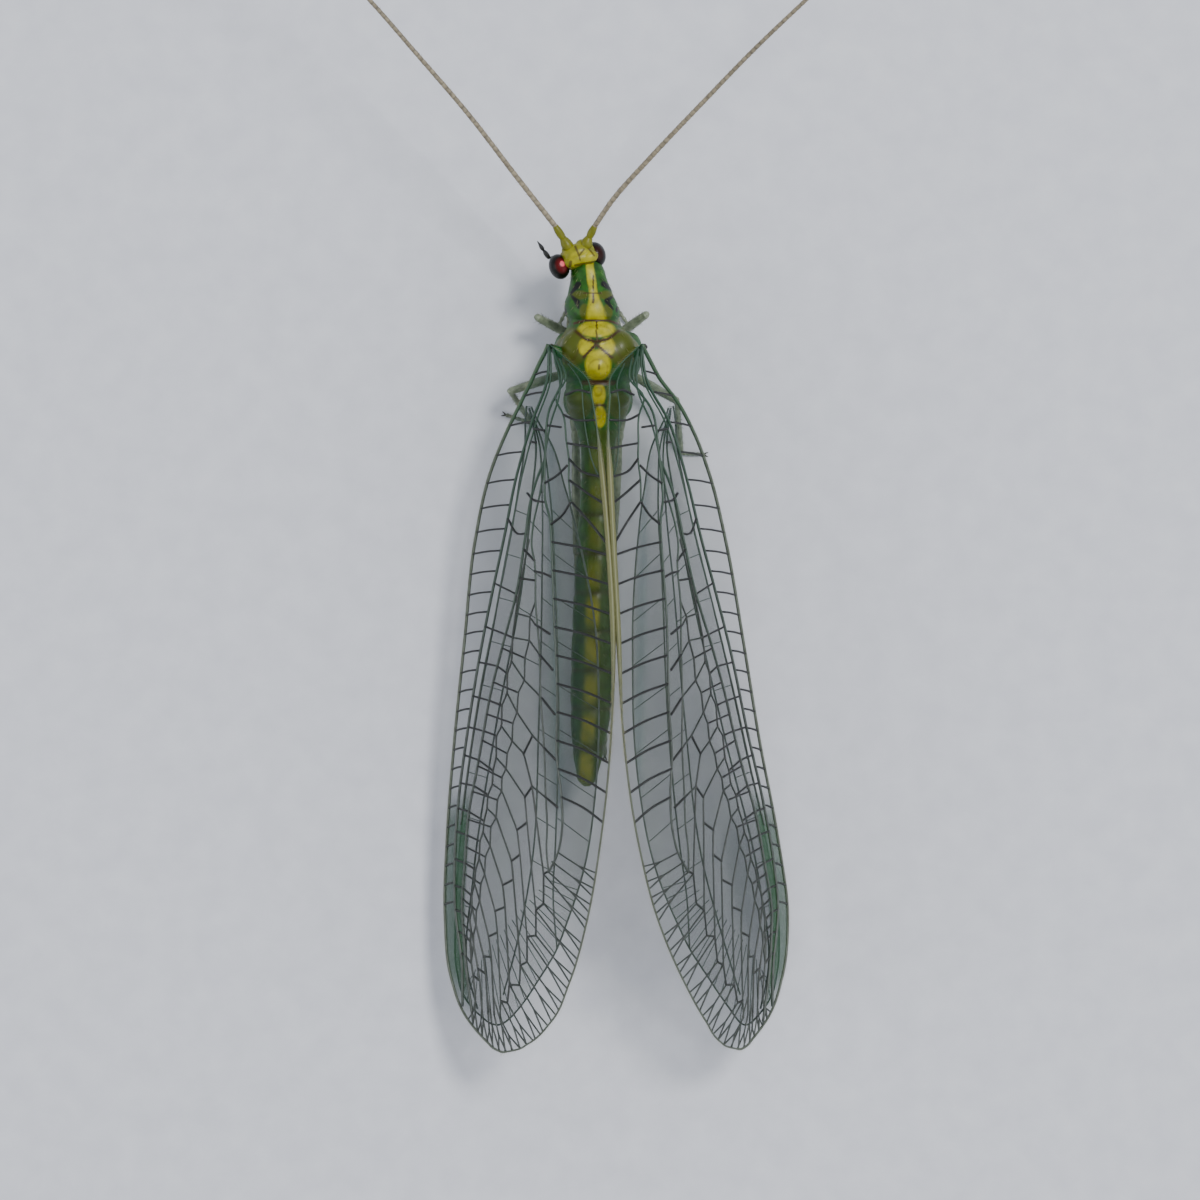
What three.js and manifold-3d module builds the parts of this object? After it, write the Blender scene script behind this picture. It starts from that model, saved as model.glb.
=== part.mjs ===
// A green lacewing at rest, life size, in millimetres, +Z up and its head towards -Y.
// Lengths along the body are measured back from the forewing hinge (y), sideways
// towards the animal's left (x), and up from the floor that it stands on (z).
import * as THREE from "three";
import { mergeVertices } from "three/addons/utils/BufferGeometryUtils.js";
import Module from "manifold-3d";

const wasm = await Module();
wasm.setup();

// Driving dimensions
const forewingLength = 14.5; // hinge to tip
const antennaLength = 12.4;
const headWidth = 1.3; // across the eyes
const joint = 0.24; // open seam between two neighbouring parts
const membrane = 0.45; // thickness of a wing between its veins
const veinRise = 0.12; // how far a vein stands out of the membrane
const wingStack = 0.77; // hindwing middle below forewing middle, along the wing's normal
const legRadius = 0.26;
const footRadius = 0.23;
const feelerRadius = 0.25;
const feelerTipRadius = 0.15;

const bodySides = 16;
const limbSides = 7;

const colours = {
  green: 0x4f7d2e,
  olive: 0x6d7a1c,
  yellow: 0xc9c33c,
  eye: 0x2c140c,
  feeler: 0x8a8570,
  leg: 0x8d9878,
  palp: 0x3b3a30,
  wing: 0x9fb2a0,
};

function finish(colour, roughness) {
  return new THREE.MeshStandardMaterial({ color: colour, roughness, metalness: 0 });
}

const finishes = {
  green: finish(colours.green, 0.45),
  olive: finish(colours.olive, 0.45),
  yellow: finish(colours.yellow, 0.5),
  eye: finish(colours.eye, 0.2),
  feeler: finish(colours.feeler, 0.7),
  leg: finish(colours.leg, 0.55),
  palp: finish(colours.palp, 0.5),
  wing: finish(colours.wing, 0.3),
};

// Solids and joins

function toSolid(geometry) {
  const bare = new THREE.BufferGeometry();
  bare.setAttribute("position", geometry.getAttribute("position").clone());
  bare.setIndex(geometry.index);
  const merged = mergeVertices(bare, 1e-4);
  const mesh = new wasm.Mesh({
    numProp: 3,
    vertProperties: new Float32Array(merged.attributes.position.array),
    triVerts: new Uint32Array(merged.index.array),
  });
  return new wasm.Manifold(mesh);
}

function toGeometry(solid) {
  const mesh = solid.getMesh();
  const geometry = new THREE.BufferGeometry();
  geometry.setAttribute("position", new THREE.BufferAttribute(mesh.vertProperties, 3));
  geometry.setIndex(new THREE.BufferAttribute(mesh.triVerts, 1));
  geometry.computeVertexNormals();
  return geometry;
}

// A joined or cut shape keeps only its largest closed surface.
function largestOf(solid) {
  const bodies = solid.decompose();
  return bodies.reduce((best, body) => (body.volume() > best.volume() ? body : best));
}

function join(geometries) {
  const solids = geometries.map(toSolid);
  return toGeometry(largestOf(solids.reduce((sum, next) => sum.add(next))));
}

function cut(geometry, tools) {
  const start = toSolid(geometry);
  return toGeometry(largestOf(tools.map(toSolid).reduce((rest, tool) => rest.subtract(tool), start)));
}

// Basic shapes

// Moves every vertex of a unit cylinder: t runs 0..1 along it, across and up are its round section.
function reshapeCylinder(sides, steps, place) {
  const geometry = new THREE.CylinderGeometry(1, 1, 1, sides, steps);
  const position = geometry.getAttribute("position");
  for (let i = 0; i < position.count; i += 1) {
    const moved = place(position.getY(i) + 0.5, position.getX(i), position.getZ(i));
    position.setXYZ(i, moved.x, moved.y, moved.z);
  }
  return geometry;
}

function ellipsoid(centre, halfSizes, turn = 0, around = 16, down = 11) {
  const geometry = new THREE.SphereGeometry(1, around, down);
  geometry.rotateX(Math.PI / 2);
  geometry.scale(halfSizes.x, halfSizes.y, halfSizes.z);
  geometry.rotateZ(turn);
  geometry.translate(centre.x, centre.y, centre.z);
  return geometry;
}

// A rounded swelling of the back, from its centre and its half sizes.
function swelling(centre, halfSizes) {
  return ellipsoid(new THREE.Vector3(...centre), new THREE.Vector3(...halfSizes), 0, 12, 8);
}

// A round joint, a little thicker than the limbs that meet in it.
function knuckle(centre, limbRadius) {
  const radius = limbRadius * 1.14;
  return ellipsoid(centre, new THREE.Vector3(radius, radius, radius), 0, limbSides, 5);
}

// A straight round limb from one point to another.
function limb(from, to, startRadius, endRadius) {
  const length = from.distanceTo(to);
  const geometry = new THREE.CylinderGeometry(endRadius, startRadius, length, limbSides, 1);
  const direction = to.clone().sub(from).normalize();
  geometry.applyQuaternion(new THREE.Quaternion().setFromUnitVectors(new THREE.Vector3(0, 1, 0), direction));
  const middle = from.clone().add(to).multiplyScalar(0.5);
  return geometry.translate(middle.x, middle.y, middle.z);
}

// Smooth curve through rows of numbers; every column of the rows is carried along, t from 0 to 1.
function valuesAt(rows, t) {
  const place = t * (rows.length - 1);
  const k = Math.min(Math.floor(place), rows.length - 2);
  const f = place - k;
  const before = rows[Math.max(k - 1, 0)];
  const after = rows[Math.min(k + 2, rows.length - 1)];
  return rows[k].map((start, c) => {
    const end = rows[k + 1][c];
    const slopeIn = (end - before[c]) / 2;
    const slopeOut = (after[c] - start) / 2;
    const cubic = 2 * start - 2 * end + slopeIn + slopeOut;
    const square = -3 * start + 3 * end - 2 * slopeIn - slopeOut;
    return ((cubic * f + square) * f + slopeIn) * f + start;
  });
}

// A body ring is [y, x, z, half width, half height]; the body's parts are lofts of such rings.
function bodyLoft(rings, steps, radiusAt = () => 1) {
  return reshapeCylinder(bodySides, steps, (t, across, up) => {
    const [y, x, z, halfWidth, halfHeight] = valuesAt(rings, 1 - t);
    const swell = radiusAt(1 - t);
    return new THREE.Vector3(x + across * halfWidth * swell, y, z - up * halfHeight * swell);
  });
}

// Thorax

const prothoraxRings = [
  [-1.34, 0.2, 2.0, 0.34, 0.34],
  [-1.12, 0.17, 1.99, 0.43, 0.4],
  [-0.86, 0.14, 1.96, 0.53, 0.49],
  [-0.62, 0.11, 1.93, 0.56, 0.53],
];
const mesothoraxRings = [
  [-0.38, 0.07, 1.92, 0.6, 0.6],
  [-0.1, 0.03, 1.9, 0.82, 0.76],
  [0.2, 0.0, 1.87, 0.93, 0.86],
  [0.48, 0.0, 1.85, 0.88, 0.84],
  [0.74, 0.0, 1.82, 0.74, 0.74],
];
const metathoraxRings = [
  [0.74 + joint, 0.0, 1.8, 0.66, 0.68],
  [1.3, 0.0, 1.76, 0.62, 0.62],
  [1.62, 0.0, 1.71, 0.46, 0.5],
];

function makeProthorax() {
  return bodyLoft(prothoraxRings, 6);
}

// The scutum's two side lobes and the round scutellum behind them stand out of the back.
function makeMesothorax() {
  const trunk = bodyLoft(mesothoraxRings, 8);
  const lobes = [-1, 1].map((side) => swelling([side * 0.4, 0.1, 2.32], [0.37, 0.42, 0.33]));
  const prescutum = swelling([0.03, -0.12, 2.38], [0.34, 0.26, 0.34]);
  const scutellum = swelling([0, 0.42, 2.45], [0.27, 0.27, 0.3]);
  return join([trunk, ...lobes, prescutum, scutellum]);
}

function makeMetathorax() {
  const trunk = bodyLoft(metathoraxRings, 5);
  const scutellum = swelling([0, 1.28, 2.2], [0.2, 0.24, 0.26]);
  return join([trunk, scutellum]);
}

// Abdomen

const abdomenRings = [
  [1.86, 0.0, 1.66, 0.4, 0.42],
  [2.78, 0.0, 1.53, 0.37, 0.38],
  [4.02, 0.03, 1.44, 0.43, 0.43],
  [5.67, 0.09, 1.4, 0.46, 0.45],
  [7.3, 0.13, 1.4, 0.46, 0.45],
  [8.14, 0.19, 1.42, 0.37, 0.4],
  [8.76, 0.22, 1.44, 0.25, 0.3],
  [9.1, 0.23, 1.45, 0.12, 0.16],
];
const abdomenSegments = 9;
const segmentWaist = 0.07; // how much narrower the body is at the seam between two segments

function makeAbdomen() {
  const stepsPerSegment = 3;
  return bodyLoft(abdomenRings, abdomenSegments * stepsPerSegment, (t) => {
    const withinSegment = (t * abdomenSegments) % 1;
    const atSeam = Math.min(withinSegment, 1 - withinSegment) < 0.01;
    return atSeam && t > 0.01 && t < 0.99 ? 1 - segmentWaist : 1;
  });
}

// Head: turned a little to the animal's left, with the face looking forward and down

const headTurn = THREE.MathUtils.degToRad(19);
const headCentre = new THREE.Vector3(0.41, -1.8, 2.06);
const eyeOffset = headWidth / 2 - 0.22;
const eyeHalf = new THREE.Vector3(0.22, 0.25, 0.27);
const eyeCup = 0.08; // open seam round each eye

// A point given from the middle of the head: to its left, behind it and above it.
function onHead(left, behind, above) {
  const turned = new THREE.Vector3(left, behind, above).applyAxisAngle(new THREE.Vector3(0, 0, 1), headTurn);
  return turned.add(headCentre);
}

function eyeSurface(side, grow) {
  const half = eyeHalf.clone().addScalar(grow);
  return ellipsoid(onHead(side * eyeOffset, 0.06, 0.04), half, headTurn, 14, 10);
}

function makeHead() {
  const capsule = ellipsoid(headCentre, new THREE.Vector3(0.42, 0.28, 0.36), headTurn);
  const face = ellipsoid(onHead(0, -0.06, -0.24), new THREE.Vector3(0.3, 0.24, 0.34), headTurn, 12, 9);
  const neck = limb(onHead(0, 0, -0.04), onHead(0, 0.28, -0.06), 0.26, 0.22);
  const brow = ellipsoid(onHead(0, -0.12, 0.2), new THREE.Vector3(0.3, 0.18, 0.16), headTurn, 12, 8);
  const cups = [-1, 1].map((side) => eyeSurface(side, eyeCup));
  return cut(join([capsule, face, neck, brow]), cups);
}

function makeEye(side) {
  return eyeSurface(side, 0);
}

// Upper lip and jaws below the face.
function makeMouthparts() {
  const top = onHead(0, -0.06, -0.62 - joint / 2);
  const end = onHead(0, -0.02, -1.0);
  const jaws = limb(top, end, 0.2, 0.11);
  return jaws;
}

// A curved feeler that tapers from its root to its tip.
function makeFeeler(path, startRadius, endRadius, steps) {
  const curve = new THREE.CatmullRomCurve3(path, false, "centripetal");
  const frames = curve.computeFrenetFrames(steps, false);
  return reshapeCylinder(limbSides, steps, (t, across, up) => {
    const k = Math.round((1 - t) * steps);
    const radius = THREE.MathUtils.lerp(startRadius, endRadius, k / steps);
    const side = frames.normals[k].clone().multiplyScalar(across * radius);
    const over = frames.binormals[k].clone().multiplyScalar(up * radius);
    return curve.getPointAt(k / steps).add(side).add(over);
  });
}

// Each antenna's course seen from above, as [x, y]; it rises evenly to its tip.
const antennaCourses = {
  left: [
    [0.82, -2.36],
    [1.66, -3.42],
    [2.64, -4.68],
    [3.67, -5.87],
    [4.76, -7.1],
    [6.6, -8.9],
    [8.6, -10.5],
  ],
  right: [
    [0.12, -2.36],
    [-0.3, -2.96],
    [-1.07, -3.81],
    [-2.1, -4.88],
    [-3.13, -5.93],
    [-4.37, -7.1],
    [-7.4, -9.9],
  ],
};
const antennaRootHeight = 2.36;
const antennaRise = 2.3;

// The course is drawn out or shortened about its root until it has the antenna's real length.
function makeAntenna(sideName) {
  const course = antennaCourses[sideName];
  const path = course.map(
    ([x, y], k) => new THREE.Vector3(x, y, antennaRootHeight + (antennaRise * k) / (course.length - 1)),
  );
  const curve = new THREE.CatmullRomCurve3(path, false, "centripetal");
  const share = Math.min(1, antennaLength / curve.getLength());
  const kept = [0, 0.1, 0.25, 0.4, 0.55, 0.7, 0.85, 1].map((t) => curve.getPointAt(t * share));
  return makeFeeler(kept, feelerRadius, feelerTipRadius, 24);
}

const palpPaths = {
  left: [onHead(0.3, -0.1, -0.72), onHead(0.62, -0.12, -0.7), onHead(0.72, -0.42, -0.68)],
  right: [onHead(-0.3, -0.1, -0.72), onHead(-0.52, -0.2, -0.86), onHead(-0.5, -0.46, -1.02)],
};

function makePalp(sideName) {
  return makeFeeler(palpPaths[sideName], 0.13, 0.07, 6);
}

// Wings
// A wing is a bent sheet between its front (costal) edge and its inner edge. Its ribs run
// from one edge to the other: [y, costal edge out, inner edge out], out from the body's
// middle plane towards the wing's own side. Each side follows the animal's own pose.

const wingPoses = {
  left: {
    slope: 0.93, // fall of the roof for each millimetre outwards
    tip: 1.96,
    ribs: [
      [0.14, 1.2, 1.02],
      [0.62, 1.38, 0.5],
      [1.13, 1.6, 0.36],
      [1.75, 1.87, 0.25],
      [2.58, 2.21, 0.14],
      [4.02, 2.54, 0.02],
      [6.08, 2.76, -0.08],
      [8.14, 2.97, -0.1],
      [10.2, 3.13, 0.02],
      [11.85, 3.17, 0.26],
      [13.08, 3.04, 0.59],
      [13.9, 2.7, 0.97],
      [14.34, 2.32, 1.46],
      [14.5, 2.08, 1.8],
    ],
  },
  right: {
    slope: 1.13,
    tip: 2.93,
    ribs: [
      [0.14, 1.2, 1.02],
      [0.62, 1.34, 0.5],
      [1.13, 1.61, 0.4],
      [1.75, 1.96, 0.4],
      [2.58, 2.28, 0.44],
      [4.02, 2.64, 0.54],
      [6.08, 3.0, 0.64],
      [8.14, 3.34, 0.68],
      [10.2, 3.73, 0.85],
      [11.85, 3.94, 1.25],
      [13.08, 3.81, 1.77],
      [13.9, 3.5, 2.22],
      [14.32, 3.17, 2.51],
      [14.46, 3.02, 2.74],
    ],
  },
};
const hingeOut = 1.0;
// Height of the wing's long axis at the hinge, at mid length and at the tip.
const axisHeights = [[2.5], [2.5], [2.1]];
const arch = 0.29; // how far the roof's slope bulges outwards at mid length

// The share of the way along the ribs at which the wing is y back from the hinge.
function shareAt(pose, y) {
  let low = 0;
  let high = 1;
  for (let k = 0; k < 24; k += 1) {
    const middle = (low + high) / 2;
    if (valuesAt(pose.ribs, middle)[0] < y) low = middle;
    else high = middle;
  }
  return (low + high) / 2;
}

// The middle of the wing's sheet, y back from the hinge and v of the way to its inner edge.
function wingPoint(pose, y, v) {
  const [, costal, inner] = valuesAt(pose.ribs, shareAt(pose, y));
  const along = y / forewingLength;
  const axisOut = THREE.MathUtils.lerp(hingeOut, pose.tip, along);
  const axisHeight = valuesAt(axisHeights, Math.min(1, along))[0];
  const out = THREE.MathUtils.lerp(costal, inner, v);
  const grown = Math.sin((Math.PI / 2) * Math.min(1, along * 2 + 0.1));
  const fade = THREE.MathUtils.clamp((1 - along) * 4, 0, 1);
  const bulge = arch * grown * fade * 4 * v * (1 - v);
  const norm = Math.hypot(1, pose.slope);
  return new THREE.Vector3(
    out + (bulge * pose.slope) / norm,
    y,
    axisHeight - (out - axisOut) * pose.slope + bulge / norm,
  );
}

// The outward normal at a point of the sheet.
function wingNormal(pose, y, v) {
  const step = 0.02;
  const alongY = wingPoint(pose, y + step, v).sub(wingPoint(pose, y - step, v));
  const alongV = wingPoint(pose, y, v + step).sub(wingPoint(pose, y, v - step));
  return alongY.cross(alongV).normalize();
}

// A closed sheet over a grid; both faces are split into triangles alike.
// placeAt gives the middle point, the outward normal and the rise of the outer face.
function sheet(rows, columns, placeAt) {
  const points = [];
  for (const face of [1, 0]) {
    for (const row of rows) {
      for (const column of columns) {
        const { point, normal, rise } = placeAt(row, column);
        const step = face ? membrane / 2 + rise : -membrane / 2;
        points.push(...point.clone().addScaledVector(normal, step).toArray());
      }
    }
  }
  const width = columns.length;
  const faceSize = rows.length * width;
  const index = [];
  for (let i = 0; i < rows.length - 1; i += 1) {
    for (let j = 0; j < width - 1; j += 1) {
      const a = i * width + j;
      const b = a + 1;
      const c = a + width;
      const d = c + 1;
      index.push(a, c, d, a, d, b);
      index.push(faceSize + a, faceSize + d, faceSize + c, faceSize + a, faceSize + b, faceSize + d);
    }
  }
  const rim = [];
  for (let j = 0; j < width - 1; j += 1) rim.push(j);
  for (let i = 0; i < rows.length - 1; i += 1) rim.push(i * width + width - 1);
  for (let j = width - 1; j > 0; j -= 1) rim.push((rows.length - 1) * width + j);
  for (let i = rows.length - 1; i > 0; i -= 1) rim.push(i * width);
  rim.forEach((p, k) => {
    const q = rim[(k + 1) % rim.length];
    index.push(p, q, faceSize + q, p, faceSize + q, faceSize + p);
  });
  const geometry = new THREE.BufferGeometry();
  geometry.setAttribute("position", new THREE.Float32BufferAttribute(points, 3));
  geometry.setIndex(index);
  return geometry;
}

// Grid lines for a set of raised veins: one on each vein's crest and one at each of its feet.
function linesFor(crests, halfWidth, start, end, others) {
  const lines = crests.flatMap((crest) => [crest - halfWidth, crest, crest + halfWidth]);
  const inside = [...lines, ...others].filter((line) => line > start && line < end);
  return [start, ...inside, end].sort((a, b) => a - b);
}

function isCrest(place, crests) {
  return crests.some((crest) => Math.abs(crest - place) < 1e-6);
}

// Veins that run along a wing, by their share of the way from the costal to the inner edge,
// and the ladder of cross veins, by their distance back from the hinge at the costal edge.
// Cross veins lean towards the tip behind the radial sector.
const longVeinHalf = 0.02;
const crossVeinHalf = 0.08;
const crossVeinLean = 1.4;
const sectorPlace = 0.28;
const forewingVeins = { long: [0, 0.19, 0.31, 0.52, 0.64, 1], cross: { first: 2.3, last: 11.8, count: 10 } };
const hindwingVeins = { long: [0, 0.2, 0.56, 1], cross: { first: 3.4, last: 11.0, count: 7 } };

function spread({ first, last, count }) {
  return Array.from({ length: count }, (_, k) => first + ((last - first) * k) / (count - 1));
}

// How far towards the tip a cross vein has leant at v; it fades out at both ends of the wing.
function leanAt(y, v) {
  const along = y / forewingLength;
  return crossVeinLean * Math.max(0, v - sectorPlace) * Math.min(1, 4 * along * (1 - along) * 1.6);
}

// A wing between two distances from the hinge, with its veins raised in its outer face.
// settle turns a grid place into the sheet's middle point and its outward normal.
function veinedWing(veins, start, end, otherRows, settle) {
  const crosses = spread(veins.cross);
  const rows = linesFor(crosses, crossVeinHalf, start, end, otherRows);
  const columns = linesFor(veins.long, longVeinHalf, 0, 1, [0.82]);
  return sheet(rows, columns, (row, column) => {
    const onVein = isCrest(row, crosses) || isCrest(column, veins.long);
    return { ...settle(row, column), rise: onVein ? veinRise : 0 };
  });
}

const wingTipRows = [0.62, 1.2, 1.75, 12.6, 13.2, 13.7, 14.05, 14.3];

function makeForewing(sideName) {
  const pose = wingPoses[sideName];
  const start = pose.ribs[0][0];
  const end = pose.ribs[pose.ribs.length - 1][0];
  return veinedWing(forewingVeins, start, end, wingTipRows, (row, v) => {
    const y = Math.min(end, row + leanAt(row, v));
    return { point: wingPoint(pose, y, v), normal: wingNormal(pose, y, v) };
  });
}

// The hindwing lies under the forewing. The part of the roof that it covers is
// [y, costal edge v, inner edge v], with the edges as shares across the forewing.
const hindwingSpans = {
  left: [
    [1.3, 0.0, 0.2],
    [2.0, 0.07, 0.38],
    [3.0, 0.15, 0.66],
    [4.6, 0.2, 0.8],
    [7.0, 0.2, 0.8],
    [9.2, 0.2, 0.8],
    [11.2, 0.22, 0.8],
    [12.6, 0.3, 0.76],
    [13.35, 0.4, 0.68],
    [13.6, 0.5, 0.6],
  ],
  right: [
    [1.3, 0.0, 0.2],
    [2.0, 0.07, 0.38],
    [3.0, 0.15, 0.64],
    [4.6, 0.2, 0.75],
    [7.0, 0.2, 0.75],
    [9.2, 0.2, 0.76],
    [11.2, 0.22, 0.78],
    [12.6, 0.3, 0.76],
    [13.35, 0.4, 0.68],
    [13.6, 0.5, 0.6],
  ],
};
const hindwingEndRows = [1.7, 2.3, 2.85, 11.7, 12.3, 12.8, 13.2, 13.45];

function makeHindwing(sideName) {
  const pose = wingPoses[sideName];
  const spans = hindwingSpans[sideName];
  const start = spans[0][0];
  const end = spans[spans.length - 1][0];
  const edges = { ribs: spans };
  return veinedWing(hindwingVeins, start, end, hindwingEndRows, (row, column) => {
    const y = Math.min(end, row + leanAt(row, column) / 2);
    const [, costal, inner] = valuesAt(spans, shareAt(edges, y));
    const v = THREE.MathUtils.lerp(costal, inner, column);
    const normal = wingNormal(pose, y, v);
    return { point: wingPoint(pose, y, v).addScaledVector(normal, -wingStack), normal };
  });
}

// Legs: each is [root, hip, knee, ankle, toe] in x, y, z, and ends on a flat sole

const legCourses = {
  front_left: [
    [0.48, -0.84, 0.98],
    [0.56, -0.24, 0.72],
    [1.26, -0.6, 1.16],
    [1.02, -0.8, 0.28],
    [0.7, -1.36, 0.16],
  ],
  front_right: [
    [-0.3, -0.84, 0.98],
    [-0.4, -0.24, 0.72],
    [-1.0, -0.66, 1.16],
    [-0.9, -0.78, 0.28],
    [-0.46, -1.24, 0.16],
  ],
  middle_left: [
    [0.46, 0.44, 0.78],
    [0.6, 0.52, 0.66],
    [1.82, 0.93, 1.1],
    [1.38, 1.57, 0.24],
    [1.92, 1.4, 0.16],
  ],
  middle_right: [
    [-0.46, 0.44, 0.78],
    [-0.6, 0.52, 0.66],
    [-1.63, 1.13, 1.1],
    [-1.73, 2.2, 0.24],
    [-2.2, 2.22, 0.16],
  ],
  hind_left: [
    [0.4, 1.34, 0.8],
    [0.48, 1.74, 0.68],
    [1.04, 4.3, 0.62],
    [1.34, 7.2, 0.3],
    [1.44, 8.6, 0.16],
  ],
  hind_right: [
    [-0.4, 1.34, 0.8],
    [-0.48, 1.74, 0.68],
    [-1.04, 4.3, 0.62],
    [-1.36, 7.2, 0.3],
    [-1.5, 8.6, 0.16],
  ],
};

function makeLeg(course) {
  const [root, hip, knee, ankle, toe] = course.map((point) => new THREE.Vector3(...point));
  const pieces = [
    limb(root, hip, legRadius, legRadius),
    knuckle(hip, legRadius),
    limb(hip, knee, legRadius, legRadius),
    knuckle(knee, legRadius),
    limb(knee, ankle, legRadius, footRadius),
    knuckle(ankle, footRadius),
    limb(ankle, toe, footRadius, footRadius * 0.8),
  ];
  const below = new THREE.BoxGeometry(8, 8, 2);
  below.translate(ankle.x, ankle.y, -1);
  return cut(join(pieces), [below]);
}

// The whole animal

const lacewing = new THREE.Group();

function addPart(name, geometry, material, mirrored = false) {
  const mesh = new THREE.Mesh(geometry, material);
  mesh.name = name;
  if (mirrored) mesh.scale.x = -1;
  lacewing.add(mesh);
}

addPart("head", makeHead(), finishes.yellow);
addPart("mouthparts", makeMouthparts(), finishes.yellow);
addPart("prothorax", makeProthorax(), finishes.green);
addPart("mesothorax", makeMesothorax(), finishes.olive);
addPart("metathorax", makeMetathorax(), finishes.olive);
addPart("abdomen", makeAbdomen(), finishes.green);
for (const sideName of ["left", "right"]) {
  const isRight = sideName === "right";
  addPart("eye_" + sideName, makeEye(isRight ? -1 : 1), finishes.eye);
  addPart("antenna_" + sideName, makeAntenna(sideName), finishes.feeler);
  addPart("palp_" + sideName, makePalp(sideName), finishes.palp);
  addPart("forewing_" + sideName, makeForewing(sideName), finishes.wing, isRight);
  addPart("hindwing_" + sideName, makeHindwing(sideName), finishes.wing, isRight);
}
for (const [name, course] of Object.entries(legCourses)) {
  addPart("leg_" + name, makeLeg(course), finishes.leg);
}

// The part's own origin is the middle of its footprint, on the floor.
const bounds = new THREE.Box3().setFromObject(lacewing);
const middle = bounds.getCenter(new THREE.Vector3());
lacewing.position.set(-middle.x, -middle.y, -bounds.min.z);

export default lacewing;
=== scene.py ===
import math

import bpy
import numpy as np
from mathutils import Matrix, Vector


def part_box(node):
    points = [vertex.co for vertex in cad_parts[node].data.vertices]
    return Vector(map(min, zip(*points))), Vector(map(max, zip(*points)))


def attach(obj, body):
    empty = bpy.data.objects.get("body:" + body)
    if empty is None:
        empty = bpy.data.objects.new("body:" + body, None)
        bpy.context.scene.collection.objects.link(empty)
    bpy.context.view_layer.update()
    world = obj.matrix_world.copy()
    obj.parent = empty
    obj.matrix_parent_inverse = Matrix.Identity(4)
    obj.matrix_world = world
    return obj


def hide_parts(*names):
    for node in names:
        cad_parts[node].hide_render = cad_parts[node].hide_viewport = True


# A green lacewing at rest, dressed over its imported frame.
# Shapes are given in millimetres from the forewing hinge: x to the animal's left,
# y back towards the tail, z up from the floor.
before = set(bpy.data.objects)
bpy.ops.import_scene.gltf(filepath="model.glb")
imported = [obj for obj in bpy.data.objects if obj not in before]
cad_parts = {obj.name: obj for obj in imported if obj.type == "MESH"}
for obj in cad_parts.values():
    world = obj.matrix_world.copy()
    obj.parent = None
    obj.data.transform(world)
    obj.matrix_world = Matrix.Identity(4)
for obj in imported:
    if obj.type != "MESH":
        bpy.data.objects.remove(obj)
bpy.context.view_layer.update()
mm = 0.001
dice = np.random.default_rng(11)

abdomenEnd = 9.1  # how far the abdomen reaches back from the hinge
thoraxLow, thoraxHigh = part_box("mesothorax")
hinge = np.array([(thoraxLow.x + thoraxHigh.x) / 2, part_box("abdomen")[1].y - abdomenEnd * mm, 0.0])
print("frame loaded, hinge at", hinge.round(5))


# Shapes as numpy arrays

def splineAt(table, at):
    # smooth curve through the rows of a table: a cubic between each two rows,
    # with slopes from the rows on both sides; the first column is the place
    table = np.asarray(table, float)
    at = np.asarray(at, float)
    places, values = table[:, 0], table[:, 1:]
    slopes = np.gradient(values, places, axis=0)
    k = np.clip(np.searchsorted(places, at) - 1, 0, len(places) - 2)
    width = (places[k + 1] - places[k])[..., None]
    f = np.clip((at - places[k])[..., None] / width, 0, 1)
    start = (1 + 2 * f) * (1 - f) ** 2 * values[k] + f * (1 - f) ** 2 * width * slopes[k]
    end = f * f * (3 - 2 * f) * values[k + 1] + f * f * (f - 1) * width * slopes[k + 1]
    return start + end


def unit(vectors):
    # each vector divided by its length
    return vectors / np.maximum(np.linalg.norm(vectors, axis=-1, keepdims=True), 1e-9)


def volumeOf(points, triangles):
    # signed volume: a . (b x c) / 6, summed over the triangles
    a, b, c = points[triangles[:, 0]], points[triangles[:, 1]], points[triangles[:, 2]]
    return (a * np.cross(b, c)).sum() / 6


def closedSkin(rings, marks=None):
    # a closed surface through rings of points, (rows, columns, 3), with one point at each end;
    # marks are numbers for each point of the rings, kept as attributes
    rows, columns = rings.shape[:2]
    ends = [rings[0].mean(0)[None], rings[-1].mean(0)[None]]
    points = np.concatenate([rings.reshape(-1, 3)] + ends)
    i = np.arange(rows - 1)[:, None] * columns
    j = np.arange(columns)[None, :]
    following = (j + 1) % columns
    quads = np.stack([i + j, i + following, i + following + columns, i + j + columns], -1).reshape(-1, 4)
    j, following = j[0], following[0]
    last = (rows - 1) * columns
    fans = np.concatenate([
        np.stack([following, j, np.full(columns, rows * columns)], 1),
        np.stack([last + j, last + following, np.full(columns, rows * columns + 1)], 1),
    ])
    if volumeOf(points, np.concatenate([quads[:, :3], quads[:, [0, 2, 3]], fans])) < 0:
        quads, fans = quads[:, ::-1], fans[:, ::-1]
    shape = dict(points=points, quads=quads, triangles=fans, marks={})
    for name, values in (marks or {}).items():
        values = np.broadcast_to(values, (rows, columns))
        shape["marks"][name] = np.concatenate([values.ravel(), [values[0].mean()], [values[-1].mean()]])
    return shape


def pathTube(path, radii, sides=10):
    # a round profile carried along a path: centre + radius * (cos a * across + sin a * over)
    path = np.asarray(path, float)
    along = unit(np.gradient(path, axis=0))
    guide = np.eye(3)[np.abs(along).mean(0).argmin()]
    across = unit(np.cross(along, guide))
    over = np.cross(along, across)
    angle = np.linspace(0, 2 * math.pi, sides, endpoint=False)[None, :, None]
    radii = np.broadcast_to(radii, len(path))[:, None, None]
    spread = np.cos(angle) * across[:, None] + np.sin(angle) * over[:, None]
    return closedSkin(path[:, None] + radii * spread)


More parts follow.
